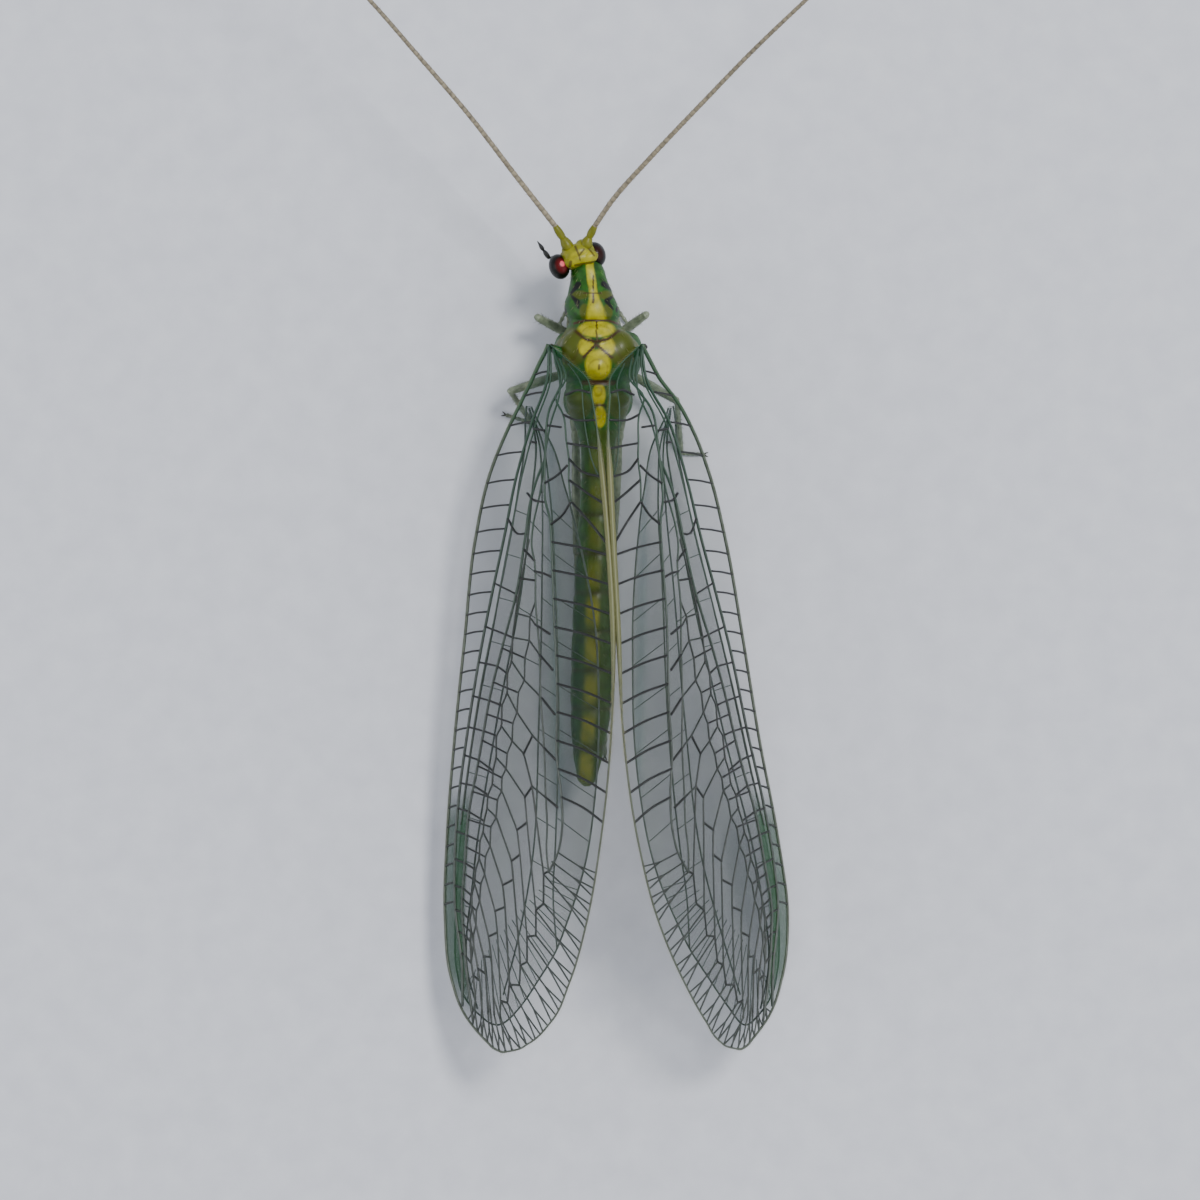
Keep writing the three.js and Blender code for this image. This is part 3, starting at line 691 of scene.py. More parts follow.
def sampled(points, step, smooth=True):
    # a path through a few points in even steps: a smooth one, or straight from corner to corner
    points = np.asarray(points, float)
    lengths = np.concatenate([[0], np.cumsum(np.linalg.norm(np.diff(points, axis=0), axis=1))])
    at = np.linspace(0, lengths[-1], max(3, int(math.ceil(lengths[-1] / step)) + 1))
    if len(points) > 2 and smooth:
        return splineAt(np.column_stack([lengths, points]), at)
    return np.column_stack([np.interp(at, lengths, column) for column in points.T])


def bead(path, radii, sides=12):
    # a limb segment: radii is a short list of radii, spread evenly along it
    t = np.linspace(0, 1, len(path))
    table = np.column_stack([np.linspace(0, 1, len(radii)), radii])
    return pathTube(path, splineAt(table, t)[:, 0], sides)


def palp(points, radii, step=0.03):
    # a club-shaped joint between each two points, narrow at both ends
    shapes = []
    for k in range(len(points) - 1):
        path = onHead(sampled([points[k], points[k + 1]], step))
        r0, r1 = radii[k], radii[k + 1]
        shape = bead(path, [r0 * 0.6, r0, (r0 + r1) / 2 * 1.1, r1, r1 * 0.5])
        shapes.append(marked(shape, black=0.2 + 0.8 * (k > 0)))
    return joinShapes(shapes)


palpCourses = dict(
    left=[
        (0.24, -0.12, -0.62), (0.42, -0.16, -0.7), (0.56, -0.2, -0.7), (0.62, -0.4, -0.68),
        (0.68, -0.62, -0.66),
    ],
    right=[
        (-0.2, -0.08, -0.62), (-0.3, -0.1, -0.76), (-0.36, -0.14, -0.9), (-0.36, -0.22, -1.02),
        (-0.33, -0.3, -1.08),
    ],
)
for sideName, course in palpCourses.items():
    shape = palp(course, [0.06, 0.055, 0.05, 0.045, 0.02])
    addPiece("maxillaryPalp." + sideName, shape, materials["palp"], ("palp_" + sideName,))


def mouthparts():
    # upper lip, two curved jaws and two short lip palps below the face
    lip = bead(onHead(sampled([(0, -0.1, -0.5), (0, -0.12, -0.72)], 0.02)), [0.2, 0.19, 0.16, 0.1], 20)
    shapes = [lip]
    for side in (1, -1):
        jaw = [
            (side * 0.2, -0.04, -0.56), (side * 0.19, -0.04, -0.72),
            (side * 0.1, -0.05, -0.86), (side * 0.01, -0.06, -0.9),
        ]
        shapes.append(bead(onHead(sampled(jaw, 0.02)), [0.07, 0.075, 0.05, 0.02], 14))
        lipPalp = [(side * 0.1, 0.02, -0.66), (side * 0.15, 0.02, -0.84), (side * 0.13, -0.04, -1.0)]
        shapes.append(bead(onHead(sampled(lipPalp, 0.02)), [0.04, 0.045, 0.04, 0.015], 10))
    return joinShapes(shapes)


addPiece("jawsAndLip", mouthparts(), materials["jaw"], ("mouthparts",))


# Antennae

antenna = dict(
    length=12.4,
    rootHeight=2.36,
    rise=2.3,
    rootRadius=0.056,
    tipRadius=0.032,
    ringLength=0.13,  # one bead of the flagellum
    courses=dict(
        left=[
            (0.82, -2.36), (1.66, -3.42), (2.64, -4.68), (3.67, -5.87), (4.76, -7.1), (6.6, -8.9),
            (8.6, -10.5),
        ],
        right=[
            (0.12, -2.36), (-0.3, -2.96), (-1.07, -3.81), (-2.1, -4.88), (-3.13, -5.93), (-4.37, -7.1),
            (-7.4, -9.9),
        ],
    ),
    roots=dict(left=(0.11, -0.2, 0.2), right=(-0.19, -0.14, 0.2)),
)


def makeAntenna(sideName):
    # a long whip that thins evenly and swells on each ring: r * (0.95 + 0.1 sin(pi s)), with s from
    # 0 to 1 over the ring; its two thick root joints are a piece of their own
    course = antenna["courses"][sideName]
    rise = np.linspace(0, antenna["rise"], len(course)) + antenna["rootHeight"]
    points = np.column_stack([np.array(course), rise])
    path = sampled(points, 0.026)
    lengths = np.concatenate([[0], np.cumsum(np.linalg.norm(np.diff(path, axis=0), axis=1))])
    kept = lengths <= antenna["length"] - 0.1
    path, lengths = path[kept], lengths[kept]
    share = lengths / lengths[-1]
    radii = antenna["rootRadius"] + (antenna["tipRadius"] - antenna["rootRadius"]) * share
    within = (lengths / antenna["ringLength"]) % 1
    radii = radii * (1 + 0.1 * np.sin(within * math.pi) - 0.05) * np.clip((1 - share) * 60, 0.3, 1)
    sides = 10
    ringShade = np.concatenate([np.repeat((within < 0.2) * 0.45 + share * 0.2, sides), [0, 0]])
    whip = marked(pathTube(path, radii, sides), black=ringShade)
    root = onHead(antenna["roots"][sideName])
    scape = bead(sampled([root, root * 0.4 + path[0] * 0.6], 0.02), [0.1, 0.122, 0.12, 0.1, 0.07], 16)
    pedicel = bead(sampled([root * 0.45 + path[0] * 0.55, path[4]], 0.02), [0.065, 0.082, 0.078, 0.06], 14)
    every = np.arange(4, len(path) - 2, 2)
    turns = dice.uniform(0, 2 * math.pi, len(every))
    along = unit(np.gradient(path, axis=0))[every]
    across = unit(np.cross(along, [0, 0, 1.0]))
    over = np.cross(along, across)
    outward = np.cos(turns)[:, None] * across + np.sin(turns)[:, None] * over
    down = hairs(path[every] + outward * radii[every, None] * 0.9, outward * 0.7 + along, 0.07, 0.003, 0.0)
    return joinShapes([whip, marked(down, black=0.3)]), joinShapes([scape, pedicel])


for sideName in ("left", "right"):
    whip, base = makeAntenna(sideName)
    addPiece("antennaWhip." + sideName, whip, materials["feeler"], ("antenna_" + sideName,))
    base = marked(base, yellow=0.3, olive=1.0, teal=0.0, brown=0.1, black=0.0)
    addPiece("antennaScape." + sideName, base, materials["body"], ())
print("head, eyes, mouth and antennae made")


# Wings

wings = dict(
    length=14.5,
    hingeOut=1.0,
    axisHeights=[(0, 2.5), (0.5, 2.5), (1, 2.1), (1.05, 2.08)],
    arch=0.29,
    thickness=0.012,
    # y, costal edge and inner edge, out from the body's middle plane
    left=dict(side=1, slope=0.93, tip=1.96, rows=[
        (0.0, 1.02, 1.0), (0.1, 1.06, 0.88), (0.35, 1.19, 0.6), (0.68, 1.345, 0.247), (1.13, 1.565, 0.124),
        (1.75, 1.87, 0.02), (2.58, 2.21, -0.08), (4.02, 2.54, -0.206), (6.08, 2.76, -0.309),
        (8.14, 2.97, -0.258), (10.2, 3.13, -0.047), (11.85, 3.17, 0.237), (13.08, 3.04, 0.587),
        (13.9, 2.7, 0.968), (14.38, 2.27, 1.46), (14.5, 2.13, 1.68), (14.56, 1.98, 1.94),
    ]),
    right=dict(side=-1, slope=1.13, tip=2.93, rows=[
        (0.0, 0.9, 0.88), (0.1, 0.95, 0.78), (0.35, 1.08, 0.52), (0.68, 1.26, 0.268), (1.13, 1.61, 0.24),
        (1.75, 1.957, 0.206), (2.58, 2.276, 0.24), (4.02, 2.637, 0.309), (6.08, 3.0, 0.42),
        (8.14, 3.337, 0.53), (10.2, 3.73, 0.824), (11.85, 3.935, 1.25), (13.08, 3.81, 1.77),
        (13.9, 3.5, 2.22), (14.32, 3.17, 2.51), (14.44, 3.06, 2.68), (14.5, 2.95, 2.9),
    ]),
    # the hindwing's edges as shares across the forewing, costal then inner, by y
    hindSpans=[
        (1.25, 0.1, 0.16), (2.0, 0.24, 0.5), (3.0, 0.28, 0.68), (4.0, 0.26, 0.78), (5.5, 0.2, 0.87),
        (7.2, 0.14, 0.91), (9.2, 0.1, 0.93), (10.7, 0.085, 0.92), (11.8, 0.075, 0.867),
        (12.5, 0.065, 0.82), (13.0, 0.06, 0.747), (13.4, 0.065, 0.67), (13.7, 0.12, 0.58),
        (13.88, 0.19, 0.5), (13.98, 0.25, 0.42), (14.02, 0.31, 0.35),
    ],
    hindGap=0.62,  # how far the hindwing lies below the forewing
    filmRows=170,
    filmColumns=34,
)


def acrossTo(wing, y, share):
    # distance out from the middle plane, share of the way from the costal to the inner edge
    edges = splineAt(wing["rows"], y)
    return edges[..., 0] + (edges[..., 1] - edges[..., 0]) * share


def roofHeight(wing, out, y):
    # height of the roof: falls outwards at its slope from the long axis, and bulges by
    # arch * 4 v (1 - v) at right angles to that slope
    edges = splineAt(wing["rows"], y)
    width = np.maximum(edges[..., 0] - edges[..., 1], 0.03)
    along = y / wings["length"]
    axisOut = wings["hingeOut"] + (wing["tip"] - wings["hingeOut"]) * along
    axisHeight = splineAt(wings["axisHeights"], along)[..., 0]
    grown = np.sin(math.pi / 2 * np.minimum(1, along * 2 + 0.1)) * np.clip((1 - along) * 4, 0, 1)
    steep = math.hypot(1, wing["slope"])
    flat = out
    for correction in range(4):
        v = np.clip((edges[..., 0] - flat) / width, 0, 1)
        bulge = wings["arch"] * grown * 4 * v * (1 - v)
        flat = out - bulge * wing["slope"] / steep
    return axisHeight - (flat - axisOut) * wing["slope"] + bulge / steep


def corrugation(share, y):
    # the membrane is pleated a little: ridges and troughs between the long veins
    return 0.03 * np.sin(share * 2 * math.pi * 4) * np.clip(y / 3, 0, 1) * np.clip((14.3 - y) / 3, 0, 1)


def onWing(wing, y, share, hind=False):
    # a point of a wing from y and the share of the way across it
    y, share = np.broadcast_arrays(np.asarray(y, float), np.asarray(share, float))
    across = share
    if hind:
        spans = splineAt(wings["hindSpans"], y)
        across = spans[..., 0] + (spans[..., 1] - spans[..., 0]) * share
    out = acrossTo(wing, y, across)
    height = roofHeight(wing, out, y) + corrugation(across, y)
    if hind:
        height = height - wings["hindGap"] * (0.45 + 0.55 * np.sin(np.clip(share, 0, 1) * math.pi))
    return np.stack([out * wing["side"], y, height], -1)


def placeOnWing(wing, plan, hind=False):
    # points given as y and out from the middle plane, put onto the wing's surface
    y, out = plan[..., 0], plan[..., 1]
    edges = splineAt(wing["rows"], y)
    across = (edges[..., 0] - out) / np.maximum(edges[..., 0] - edges[..., 1], 0.03)
    height = roofHeight(wing, out, y) + corrugation(np.clip(across, 0, 1), y)
    if hind:
        spans = splineAt(wings["hindSpans"], y)
        share = np.clip((across - spans[..., 0]) / np.maximum(spans[..., 1] - spans[..., 0], 0.02), 0, 1)
        height = height - wings["hindGap"] * (0.45 + 0.55 * np.sin(share * math.pi))
    return np.stack([out * wing["side"], y, height], -1)


def planOf(wing, y, share, hind=False):
    # a point of a wing as y and its distance out from the middle plane
    y, share = np.broadcast_arrays(np.asarray(y, float), np.asarray(share, float))
    if hind:
        spans = splineAt(wings["hindSpans"], y)
        share = spans[..., 0] + (spans[..., 1] - spans[..., 0]) * share
    return np.stack([y, acrossTo(wing, y, share)], -1)


def membrane(wing, hind=False):
    # a closed film: the same grid twice, one thickness apart, joined round its edge
    low = wings["hindSpans"][0][0] if hind else wing["rows"][0][0]
    high = wings["hindSpans"][-1][0] if hind else wing["rows"][-1][0]
    t = np.linspace(0, 1, wings["filmRows"])
    y = low + (high - low) * np.sin(t * math.pi / 2) ** 0.9
    share = np.linspace(0, 1, wings["filmColumns"])
    y, share = np.meshgrid(y, share, indexing="ij")
    top = onWing(wing, y, share, hind)
    rings = np.concatenate([top, (top - [0, 0, wings["thickness"]])[:, ::-1]], 1)
    out = top[..., 0] * wing["side"]
    reach = np.clip((y - 9.1) / 0.8, 0, 1) * np.clip((13.9 - y) / 1.0, 0, 1)
    costalCell = np.clip((0.15 - share) / 0.02, 0, 1) * (0.82 + 0.18 * (share > 0.065))
    bandMiddle = np.interp(y, [0.4, 2.5, 5, 10], [0.75, 0.98, 0.9, 0.78])
    band = np.exp(-((out - bandMiddle) / 0.1) ** 2)
    band = band * np.clip((y - 0.4) / 0.8, 0, 1) * np.clip((10.6 - y) / 2, 0, 1)
    marks = dict(
        stigma=reach * costalCell * (0 if hind else 1),
        base=np.clip(1 - y / 3.2, 0, 1) * 0.8,
        band=band * (1 if hind else 0),
    )
    return closedSkin(rings, {name: np.concatenate([m, m[:, ::-1]], 1) for name, m in marks.items()})


# Venation: long veins as (y, share across), then rows of cross veins between them

veinSides = 6

venation = dict(
    subcosta=[
        (0.05, 0.3), (0.68, 0.28), (1.6, 0.25), (2.8, 0.243), (3.9, 0.22), (5.0, 0.172), (6.3, 0.117),
        (8.1, 0.078), (9.3, 0.061), (10.7, 0.062), (11.6, 0.075), (12.9, 0.11), (13.65, 0.02),
    ],
    radius=[
        (0.1, 0.45), (0.68, 0.34), (1.6, 0.3), (2.8, 0.29), (4.0, 0.265), (5.5, 0.2), (7.2, 0.135),
        (9.0, 0.1), (9.9, 0.085),
    ],
    sector=[
        (2.4, 0.47), (2.75, 0.43), (3.13, 0.4), (3.92, 0.379), (5.03, 0.342), (6.18, 0.263),
        (7.22, 0.207), (7.98, 0.184), (8.77, 0.162), (9.56, 0.135), (10.7, 0.129), (11.7, 0.124),
        (12.3, 0.138), (12.9, 0.143), (13.95, 0.05),
    ],
    media=[
        (0.2, 0.6), (0.9, 0.52), (1.7, 0.47), (2.3, 0.47), (3.0, 0.47), (3.8, 0.43), (4.1, 0.43),
        (4.49, 0.46), (5.33, 0.474), (6.24, 0.509), (7.35, 0.54), (8.14, 0.576), (9.17, 0.614),
        (9.87, 0.646), (10.4, 0.66), (10.83, 0.69),
    ],
    cubitus=[
        (0.1, 0.7), (0.68, 0.55), (1.4, 0.42), (2.18, 0.467), (2.82, 0.496), (3.19, 0.514),
        (3.6, 0.559), (4.08, 0.578), (4.71, 0.59), (5.56, 0.6), (6.65, 0.628), (7.35, 0.644),
        (8.5, 0.667), (9.24, 0.716), (9.97, 0.744), (10.41, 0.735), (10.83, 0.69),
    ],
    anal=[
        (0.3, 0.75), (0.7, 0.62), (1.11, 0.48), (1.46, 0.61), (2.0, 0.668), (2.36, 0.7), (2.81, 0.705),
        (3.23, 0.724),
    ],
    secondAnal=[(0.4, 0.9), (0.8, 0.86), (1.3, 0.86), (1.9, 0.88), (2.5, 0.93), (2.9, 1.0)],
    # how thick each long vein is
    radii=dict(
        subcosta=0.03, radius=0.018, sector=0.028, media=0.02, cubitus=0.027, anal=0.022, secondAnal=0.015,
    ),
    # where the cross veins of the costal edge start, until they stand evenly
    costalStarts=[0.62, 1.05, 1.66, 2.27, 2.84, 3.36, 3.85, 4.3, 4.72, 5.15],
    # cross veins near the base that can be counted one by one, as chains of (y, share)
    baseCrosses=[
        [(1.01, 0.98), (0.95, 0.8), (1.05, 0.62)],
        [(1.57, 0.99), (1.56, 0.75), (1.45, 0.61)],
        [(2.16, 1.0), (2.1, 0.85), (2.04, 0.68)],
        [(2.74, 1.0), (2.62, 0.82), (2.36, 0.7)],
        [(3.3, 1.0), (3.1, 0.88), (2.8, 0.71)],
        [(4.14, 1.0), (3.7, 0.88), (3.25, 0.73)],
        [(3.25, 0.72), (3.5, 0.66), (3.7, 0.57)],
        [(2.49, 0.69), (2.7, 0.6), (2.85, 0.5)],
        [(1.73, 0.29), (1.77, 0.42)],
        [(1.67, 0.45), (1.71, 0.6)],
        [(3.05, 0.36), (3.2, 0.42), (3.24, 0.51)],
        [(2.0, 0.3), (2.02, 0.36)],
        [(3.58, 0.23), (3.9, 0.33), (3.88, 0.38)],
        [(4.2, 0.37), (4.45, 0.46)],
        [(4.66, 0.46), (4.7, 0.52), (4.79, 0.59)],
        [(4.8, 0.35), (4.85, 0.47)],
    ],
)


# The fine net, as counted on the left forewing: each knot is its distance out and its y

net = dict(
    firstZigzag=[
        (1.414, 4.0), (1.61, 5.0), (1.69, 5.52), (1.757, 6.02), (1.776, 6.51), (1.867, 6.76),
        (1.867, 7.17), (1.981, 7.42), (1.981, 7.85), (2.095, 8.04), (2.095, 8.49), (2.163, 8.76),
        (2.172, 9.04), (2.268, 9.26), (2.286, 9.54), (2.35, 9.8), (2.368, 10.04), (2.437, 10.22),
        (2.45, 10.58), (2.528, 10.81), (2.55, 11.1), (2.61, 11.35), (2.6, 11.6), (2.65, 11.85),
        (2.62, 12.05), (2.64, 12.3), (2.6, 12.5), (2.62, 12.75),
    ],
    secondZigzag=[
        (1.29, 5.3), (1.4, 5.6), (1.412, 6.08), (1.503, 6.44), (1.512, 6.9), (1.64, 7.15),
        (1.663, 7.56), (1.754, 7.78), (1.763, 8.15), (1.867, 8.4), (1.89, 8.72), (1.981, 8.9),
        (1.981, 9.17), (2.072, 9.36), (2.095, 9.72), (2.209, 9.92), (2.223, 10.31), (2.323, 10.54),
        (2.336, 10.9), (2.42, 11.1), (2.44, 11.45), (2.51, 11.65), (2.52, 11.95), (2.57, 12.15),
        (2.57, 12.35), (2.62, 12.75),
    ],
    # cross veins from the subcosta over the sector to the first zigzag: y, y and the knot they end on
    slants=[
        (4.9, 5.13, (1.66, 5.3)), (5.8, 5.96, (1.757, 6.02)), (6.53, 6.61, (1.867, 6.76)),
        (7.23, 7.32, (1.981, 7.42)), (7.87, 7.95, (2.095, 8.04)), (8.45, 8.55, (2.163, 8.76)),
        (9.03, 9.08, (2.268, 9.26)), (9.55, 9.62, (2.35, 9.8)), (10.03, 10.1, (2.437, 10.22)),
        (10.6, 10.68, (2.528, 10.81)), (11.15, 11.2, (2.61, 11.35)), (11.65, 11.7, (2.65, 11.85)),
        (12.1, 12.15, (2.64, 12.3)), (12.55, 12.6, (2.62, 12.75)),
    ],
    # cross veins from the sector over the first zigzag to the second
    crosses=[
        (6.24, (1.503, 6.44)), (6.94, (1.64, 7.15)), (7.6, (1.754, 7.78)), (8.14, (1.867, 8.4)),
        (8.67, (1.981, 8.9)), (9.2, (2.072, 9.36)), (9.78, (2.209, 9.92)), (10.35, (2.323, 10.54)),
        (10.9, (2.42, 11.1)), (11.42, (2.51, 11.65)), (11.95, (2.57, 12.15)),
    ],
    # branches that end on the cubitus
    shortBranches=[
        [(1.69, 5.52), (1.4, 5.6), (1.29, 5.75), (0.98, 5.95)],
        [(1.757, 6.02), (1.412, 6.08), (1.2, 6.37), (0.92, 6.69)],
        [(1.776, 6.51), (1.512, 6.9), (1.15, 7.26), (0.88, 7.6)],
        [(1.867, 7.17), (1.663, 7.56), (1.344, 8.03), (1.12, 8.26), (0.86, 8.53)],
        [(1.353, 9.07), (1.11, 9.26), (0.82, 9.5)],
    ],
    # branches that reach the margin: knots on the first and the second zigzag, both ends of the step on
    # the inner row and of that on the outer row, then where its twigs end, as a distance round the
    # margin from the wing tip towards the inner edge: those of the last knot and those of the one before
    branches=[
        dict(ends=(2.93, 3.4), knots=[
            (1.981, 7.85), (1.763, 8.15), (1.526, 8.4), (1.353, 9.07), (1.116, 10.86), (1.116, 11.47),
        ]),
        dict(ends=(2.24, 2.58), knots=[
            (2.095, 8.49), (1.89, 8.72), (1.503, 9.29), (1.458, 9.81), (1.276, 11.61), (1.276, 12.13),
        ]),
        dict(ends=(1.62, 1.94), knots=[
            (2.172, 9.04), (1.981, 9.17), (1.663, 9.97), (1.603, 10.47), (1.458, 12.16), (1.458, 12.68),
        ]),
        dict(ends=(1.06, 1.34), knots=[
            (2.286, 9.54), (2.095, 9.72), (1.776, 10.61), (1.74, 10.99), (1.594, 12.75), (1.617, 13.16),
        ]),
        dict(ends=(0.62, 0.84), knots=[
            (2.368, 10.04), (2.223, 10.31), (1.958, 11.11), (1.913, 11.56), (1.822, 13.16), (1.867, 13.54),
        ]),
        dict(ends=(0.3, 0.46), knots=[
            (2.45, 10.58), (2.336, 10.9), (2.118, 11.65), (2.072, 12.09), (2.004, 13.5), (2.02, 13.85),
        ]),
        dict(ends=(0.0, 0.15), knots=[
            (2.55, 11.1), (2.44, 11.45), (2.254, 12.18), (2.2, 12.6), (2.16, 13.4), (2.14, 13.8),
        ]),
        dict(ends=(-0.3, -0.15), knots=[
            (2.6, 11.6), (2.52, 11.95), (2.36, 12.6), (2.32, 12.95), (2.29, 13.4), (2.27, 13.75),
        ]),
        dict(ends=(-0.6, -0.45), knots=[
            (2.62, 12.05), (2.57, 12.35), (2.48, 12.85), (2.44, 13.1), (2.42, 13.4), (2.4, 13.65),
        ]),
        dict(ends=(-0.9, -0.75), knots=[
            (2.64, 12.3), (2.62, 12.7), (2.58, 13.0), (2.56, 13.2), (2.54, 13.35), (2.53, 13.5),
        ]),
    ],
    outerSteps=5,
    outerTwigs=[((0.83, 10.41), 4.4), ((0.95, 10.6), 4.08), ((1.025, 10.81), 3.74)],
    twigGap=0.16,
    twigRadius=0.018,
)


def knotShares(knots):
    # knots given as out and y on the left forewing, turned to y and share across
    out, y = np.array(knots, float).T
    edges = splineAt(wings["left"]["rows"], y)
    return np.column_stack([y, (edges[:, 0] - out) / (edges[:, 0] - edges[:, 1])])


def shareAt(name, y, veins=venation):
    # where a long vein lies across the wing at y
    return float(splineAt(veins[name], y)[0])


def onVein(name, y, veins=venation):
    # the point of a long vein at y
    return (y, shareAt(name, y, veins))


def longAndLadderVeins():
    # (kind, radius, chain of y and share, smooth or straight)
    paths = []
    for name, radius in venation["radii"].items():
        paths.append((name, radius, venation[name], True))
    for y in venation["costalStarts"] + [5.56 + 0.4 * k for k in range(16)]:
        middle = (y - 0.05, shareAt("subcosta", y) * 0.5)
        paths.append(("cross", 0.023, [(y, 0.0), middle, onVein("subcosta", y - 0.07)], True))
    for k in range(10):
        y, fall = 4.06 + 0.58 * k, 0.28 + 0.025 * k
        middle = (y + fall * 0.4, (shareAt("cubitus", y) + 1) / 2)
        paths.append(("marginal", 0.026, [onVein("cubitus", y), middle, (y + fall, 1.0)], True))
    for chain in venation["baseCrosses"]:
        paths.append(("marginal", 0.026, chain, True))
    return paths


def netVeins():
    # the zigzags, the branches and the steps between them, straight from knot to knot
    paths = [
        ("thin", 0.02, knotShares(net["firstZigzag"]), False),
        ("thin", 0.02, knotShares(net["secondZigzag"]), False),
    ]
    for y, sectorY, knot in net["slants"]:
        end = knotShares([knot])[0]
        paths.append(("cross", 0.023, [onVein("subcosta", y), onVein("sector", sectorY), end], False))
    for sectorY, knot in net["crosses"]:
        paths.append(("cross", 0.021, [onVein("sector", sectorY), knotShares([knot])[0]], False))
    for knots in net["shortBranches"]:
        shares = knotShares(knots)
        paths.append(("thin", 0.02, shares[:-1], False))
        paths.append(("cross", 0.026, shares[-2:], False))
    steps = [((1.344, 8.03), (1.526, 8.4)), ((1.025, 10.81), (1.116, 10.86))]
    branches = [row["knots"] for row in net["branches"]]
    for k, (knots, following) in enumerate(zip(branches[:-1], branches[1:])):
        steps.append((knots[3], following[2]))
        if k < net["outerSteps"]:
            steps.append((knots[5], following[4]))
            paths.append(("cross", 0.022, knotShares(knots[4:6]), False))
    for knots in branches:
        paths.append(("thin", 0.02, knotShares(knots), False))
    for step in steps:
        paths.append(("cross", 0.026, knotShares(step), False))
    return paths


def marginTwigs(wing):
    # from each outer knot a twig runs towards the margin and forks 0.55 of the way there;
    # its two ends lie twigGap apart, round the place that the table gives
    step, half = 0.02, net["twigGap"] / 2
    route = marginRoute(wing, step=step)
    tipAt = int(np.argmax(route[:, 0]))
    starts = list(net["outerTwigs"])
    for row in net["branches"]:
        place, placeBefore = row["ends"]
        starts += [(row["knots"][5], place), (row["knots"][4], placeBefore)]
    paths = []
    for knot, place in starts:
        start = planOf(wing, *knotShares([knot])[0])
        ends = [route[tipAt + int((place + gap) / step)] for gap in (-half, half)]
        fork = start + (np.mean(ends, axis=0) - start) * 0.55
        paths += [[start, fork], [fork, ends[0]], [fork, ends[1]]]
    return paths


def marginRoute(wing, hind=False, step=0.05):
    # the wing's outline, from the hinge along the costal edge round the tip and back along the inner edge
    rows = wings["hindSpans"] if hind else wing["rows"]
    y = np.linspace(rows[0][0], rows[-1][0], 1500)
    costal = planOf(wing, y, 0.0, hind)
    inner = planOf(wing, y, 1.0, hind)
    route = np.concatenate([costal, inner[::-1]])
    lengths = np.concatenate([[0], np.cumsum(np.linalg.norm(np.diff(route, axis=0), axis=1))])
    at = np.arange(0, lengths[-1], step)
    return np.column_stack([np.interp(at, lengths, route[:, 0]), np.interp(at, lengths, route[:, 1])])


def chainOnWing(wing, chain, hind=False, step=0.1):
    # a chain of (y, share) as an even path of 3-D points on the wing
    chain = np.array(chain, float)
    plan = planOf(wing, chain[:, 0], chain[:, 1], hind)
    return placeOnWing(wing, sampled(plan, step), hind)


def planChain(wing, plan, hind=False, step=0.1):
    # a chain of (y, out) as an even path of 3-D points on the wing
    return placeOnWing(wing, sampled(np.array(plan, float), step), hind)


def markVein(shape, kind):
    # green near the body, grey towards the tip; cross veins are black
    y = shape["points"][:, 1]
    near = np.clip(1.15 - y / 6.5, 0, 1)
    green = near * dict(cross=0.0, marginal=0.0, thin=0.3, margin=0.2, hind=0.5).get(kind, 1.0)
    far = np.clip((y - 8) / 5, 0, 1)
    black = dict(cross=1.0, marginal=1.0, thin=0.72, margin=0.15, hind=0.15).get(kind, 0.4)
    return marked(shape, green=green, black=black * (1 - 0.25 * far), pale=0.0)


wingRim = dict(
    # the costal edge: radius by y
    costalPlaces=[0, 2, 10, 14.6],
    costalRadii=[0.045, 0.036, 0.03, 0.026],
    costalPale=0.12,
    # the inner edge: radius and how pale it is, by y
    innerPlaces=[0, 1.7, 2.6, 5.8, 7.6, 14.6],
    innerRadii=[0.012, 0.014, 0.066, 0.062, 0.022, 0.02],
    innerPale=[0, 0.05, 0.85, 0.75, 0.25, 0.1],
)


def marginVein(wing):
    # the rim of the wing: thick and grey along the costal edge, a pale downy ridge where both wings meet
    path = placeOnWing(wing, marginRoute(wing, step=0.06))
    y = path[:, 1]
    inner = np.arange(len(path)) > int(np.argmax(y))
    costalRadius = np.interp(y, wingRim["costalPlaces"], wingRim["costalRadii"])
    innerRadius = np.interp(y, wingRim["innerPlaces"], wingRim["innerRadii"])
    ring = markVein(pathTube(path, np.where(inner, innerRadius, costalRadius), veinSides), "margin")
    ridge = np.interp(y, wingRim["innerPlaces"], wingRim["innerPale"])
    pale = np.repeat(np.where(inner, ridge, wingRim["costalPale"]), veinSides)
    ring["marks"]["pale"] = np.concatenate([pale, [0, 0]])
    ring["marks"]["green"] = ring["marks"]["green"] + np.clip(2.2 - ring["points"][:, 1], 0, 1) * 0.8
    return ring


def forewingVeins(wing):
    # each vein as a tube of its radius along its chain, then the twigs and the rim
    shapes = []
    for kind, radius, chain, smooth in longAndLadderVeins() + netVeins():
        chain = np.array(chain, float)
        plan = sampled(planOf(wing, chain[:, 0], chain[:, 1]), 0.1, smooth)
        path = placeOnWing(wing, plan)
        shapes.append(markVein(pathTube(path, radius, veinSides), kind))
    for plan in marginTwigs(wing):
        path = placeOnWing(wing, sampled(plan, 0.1))
        shapes.append(markVein(pathTube(path, net["twigRadius"], veinSides), "thin"))
    return joinShapes(shapes + [marginVein(wing)])


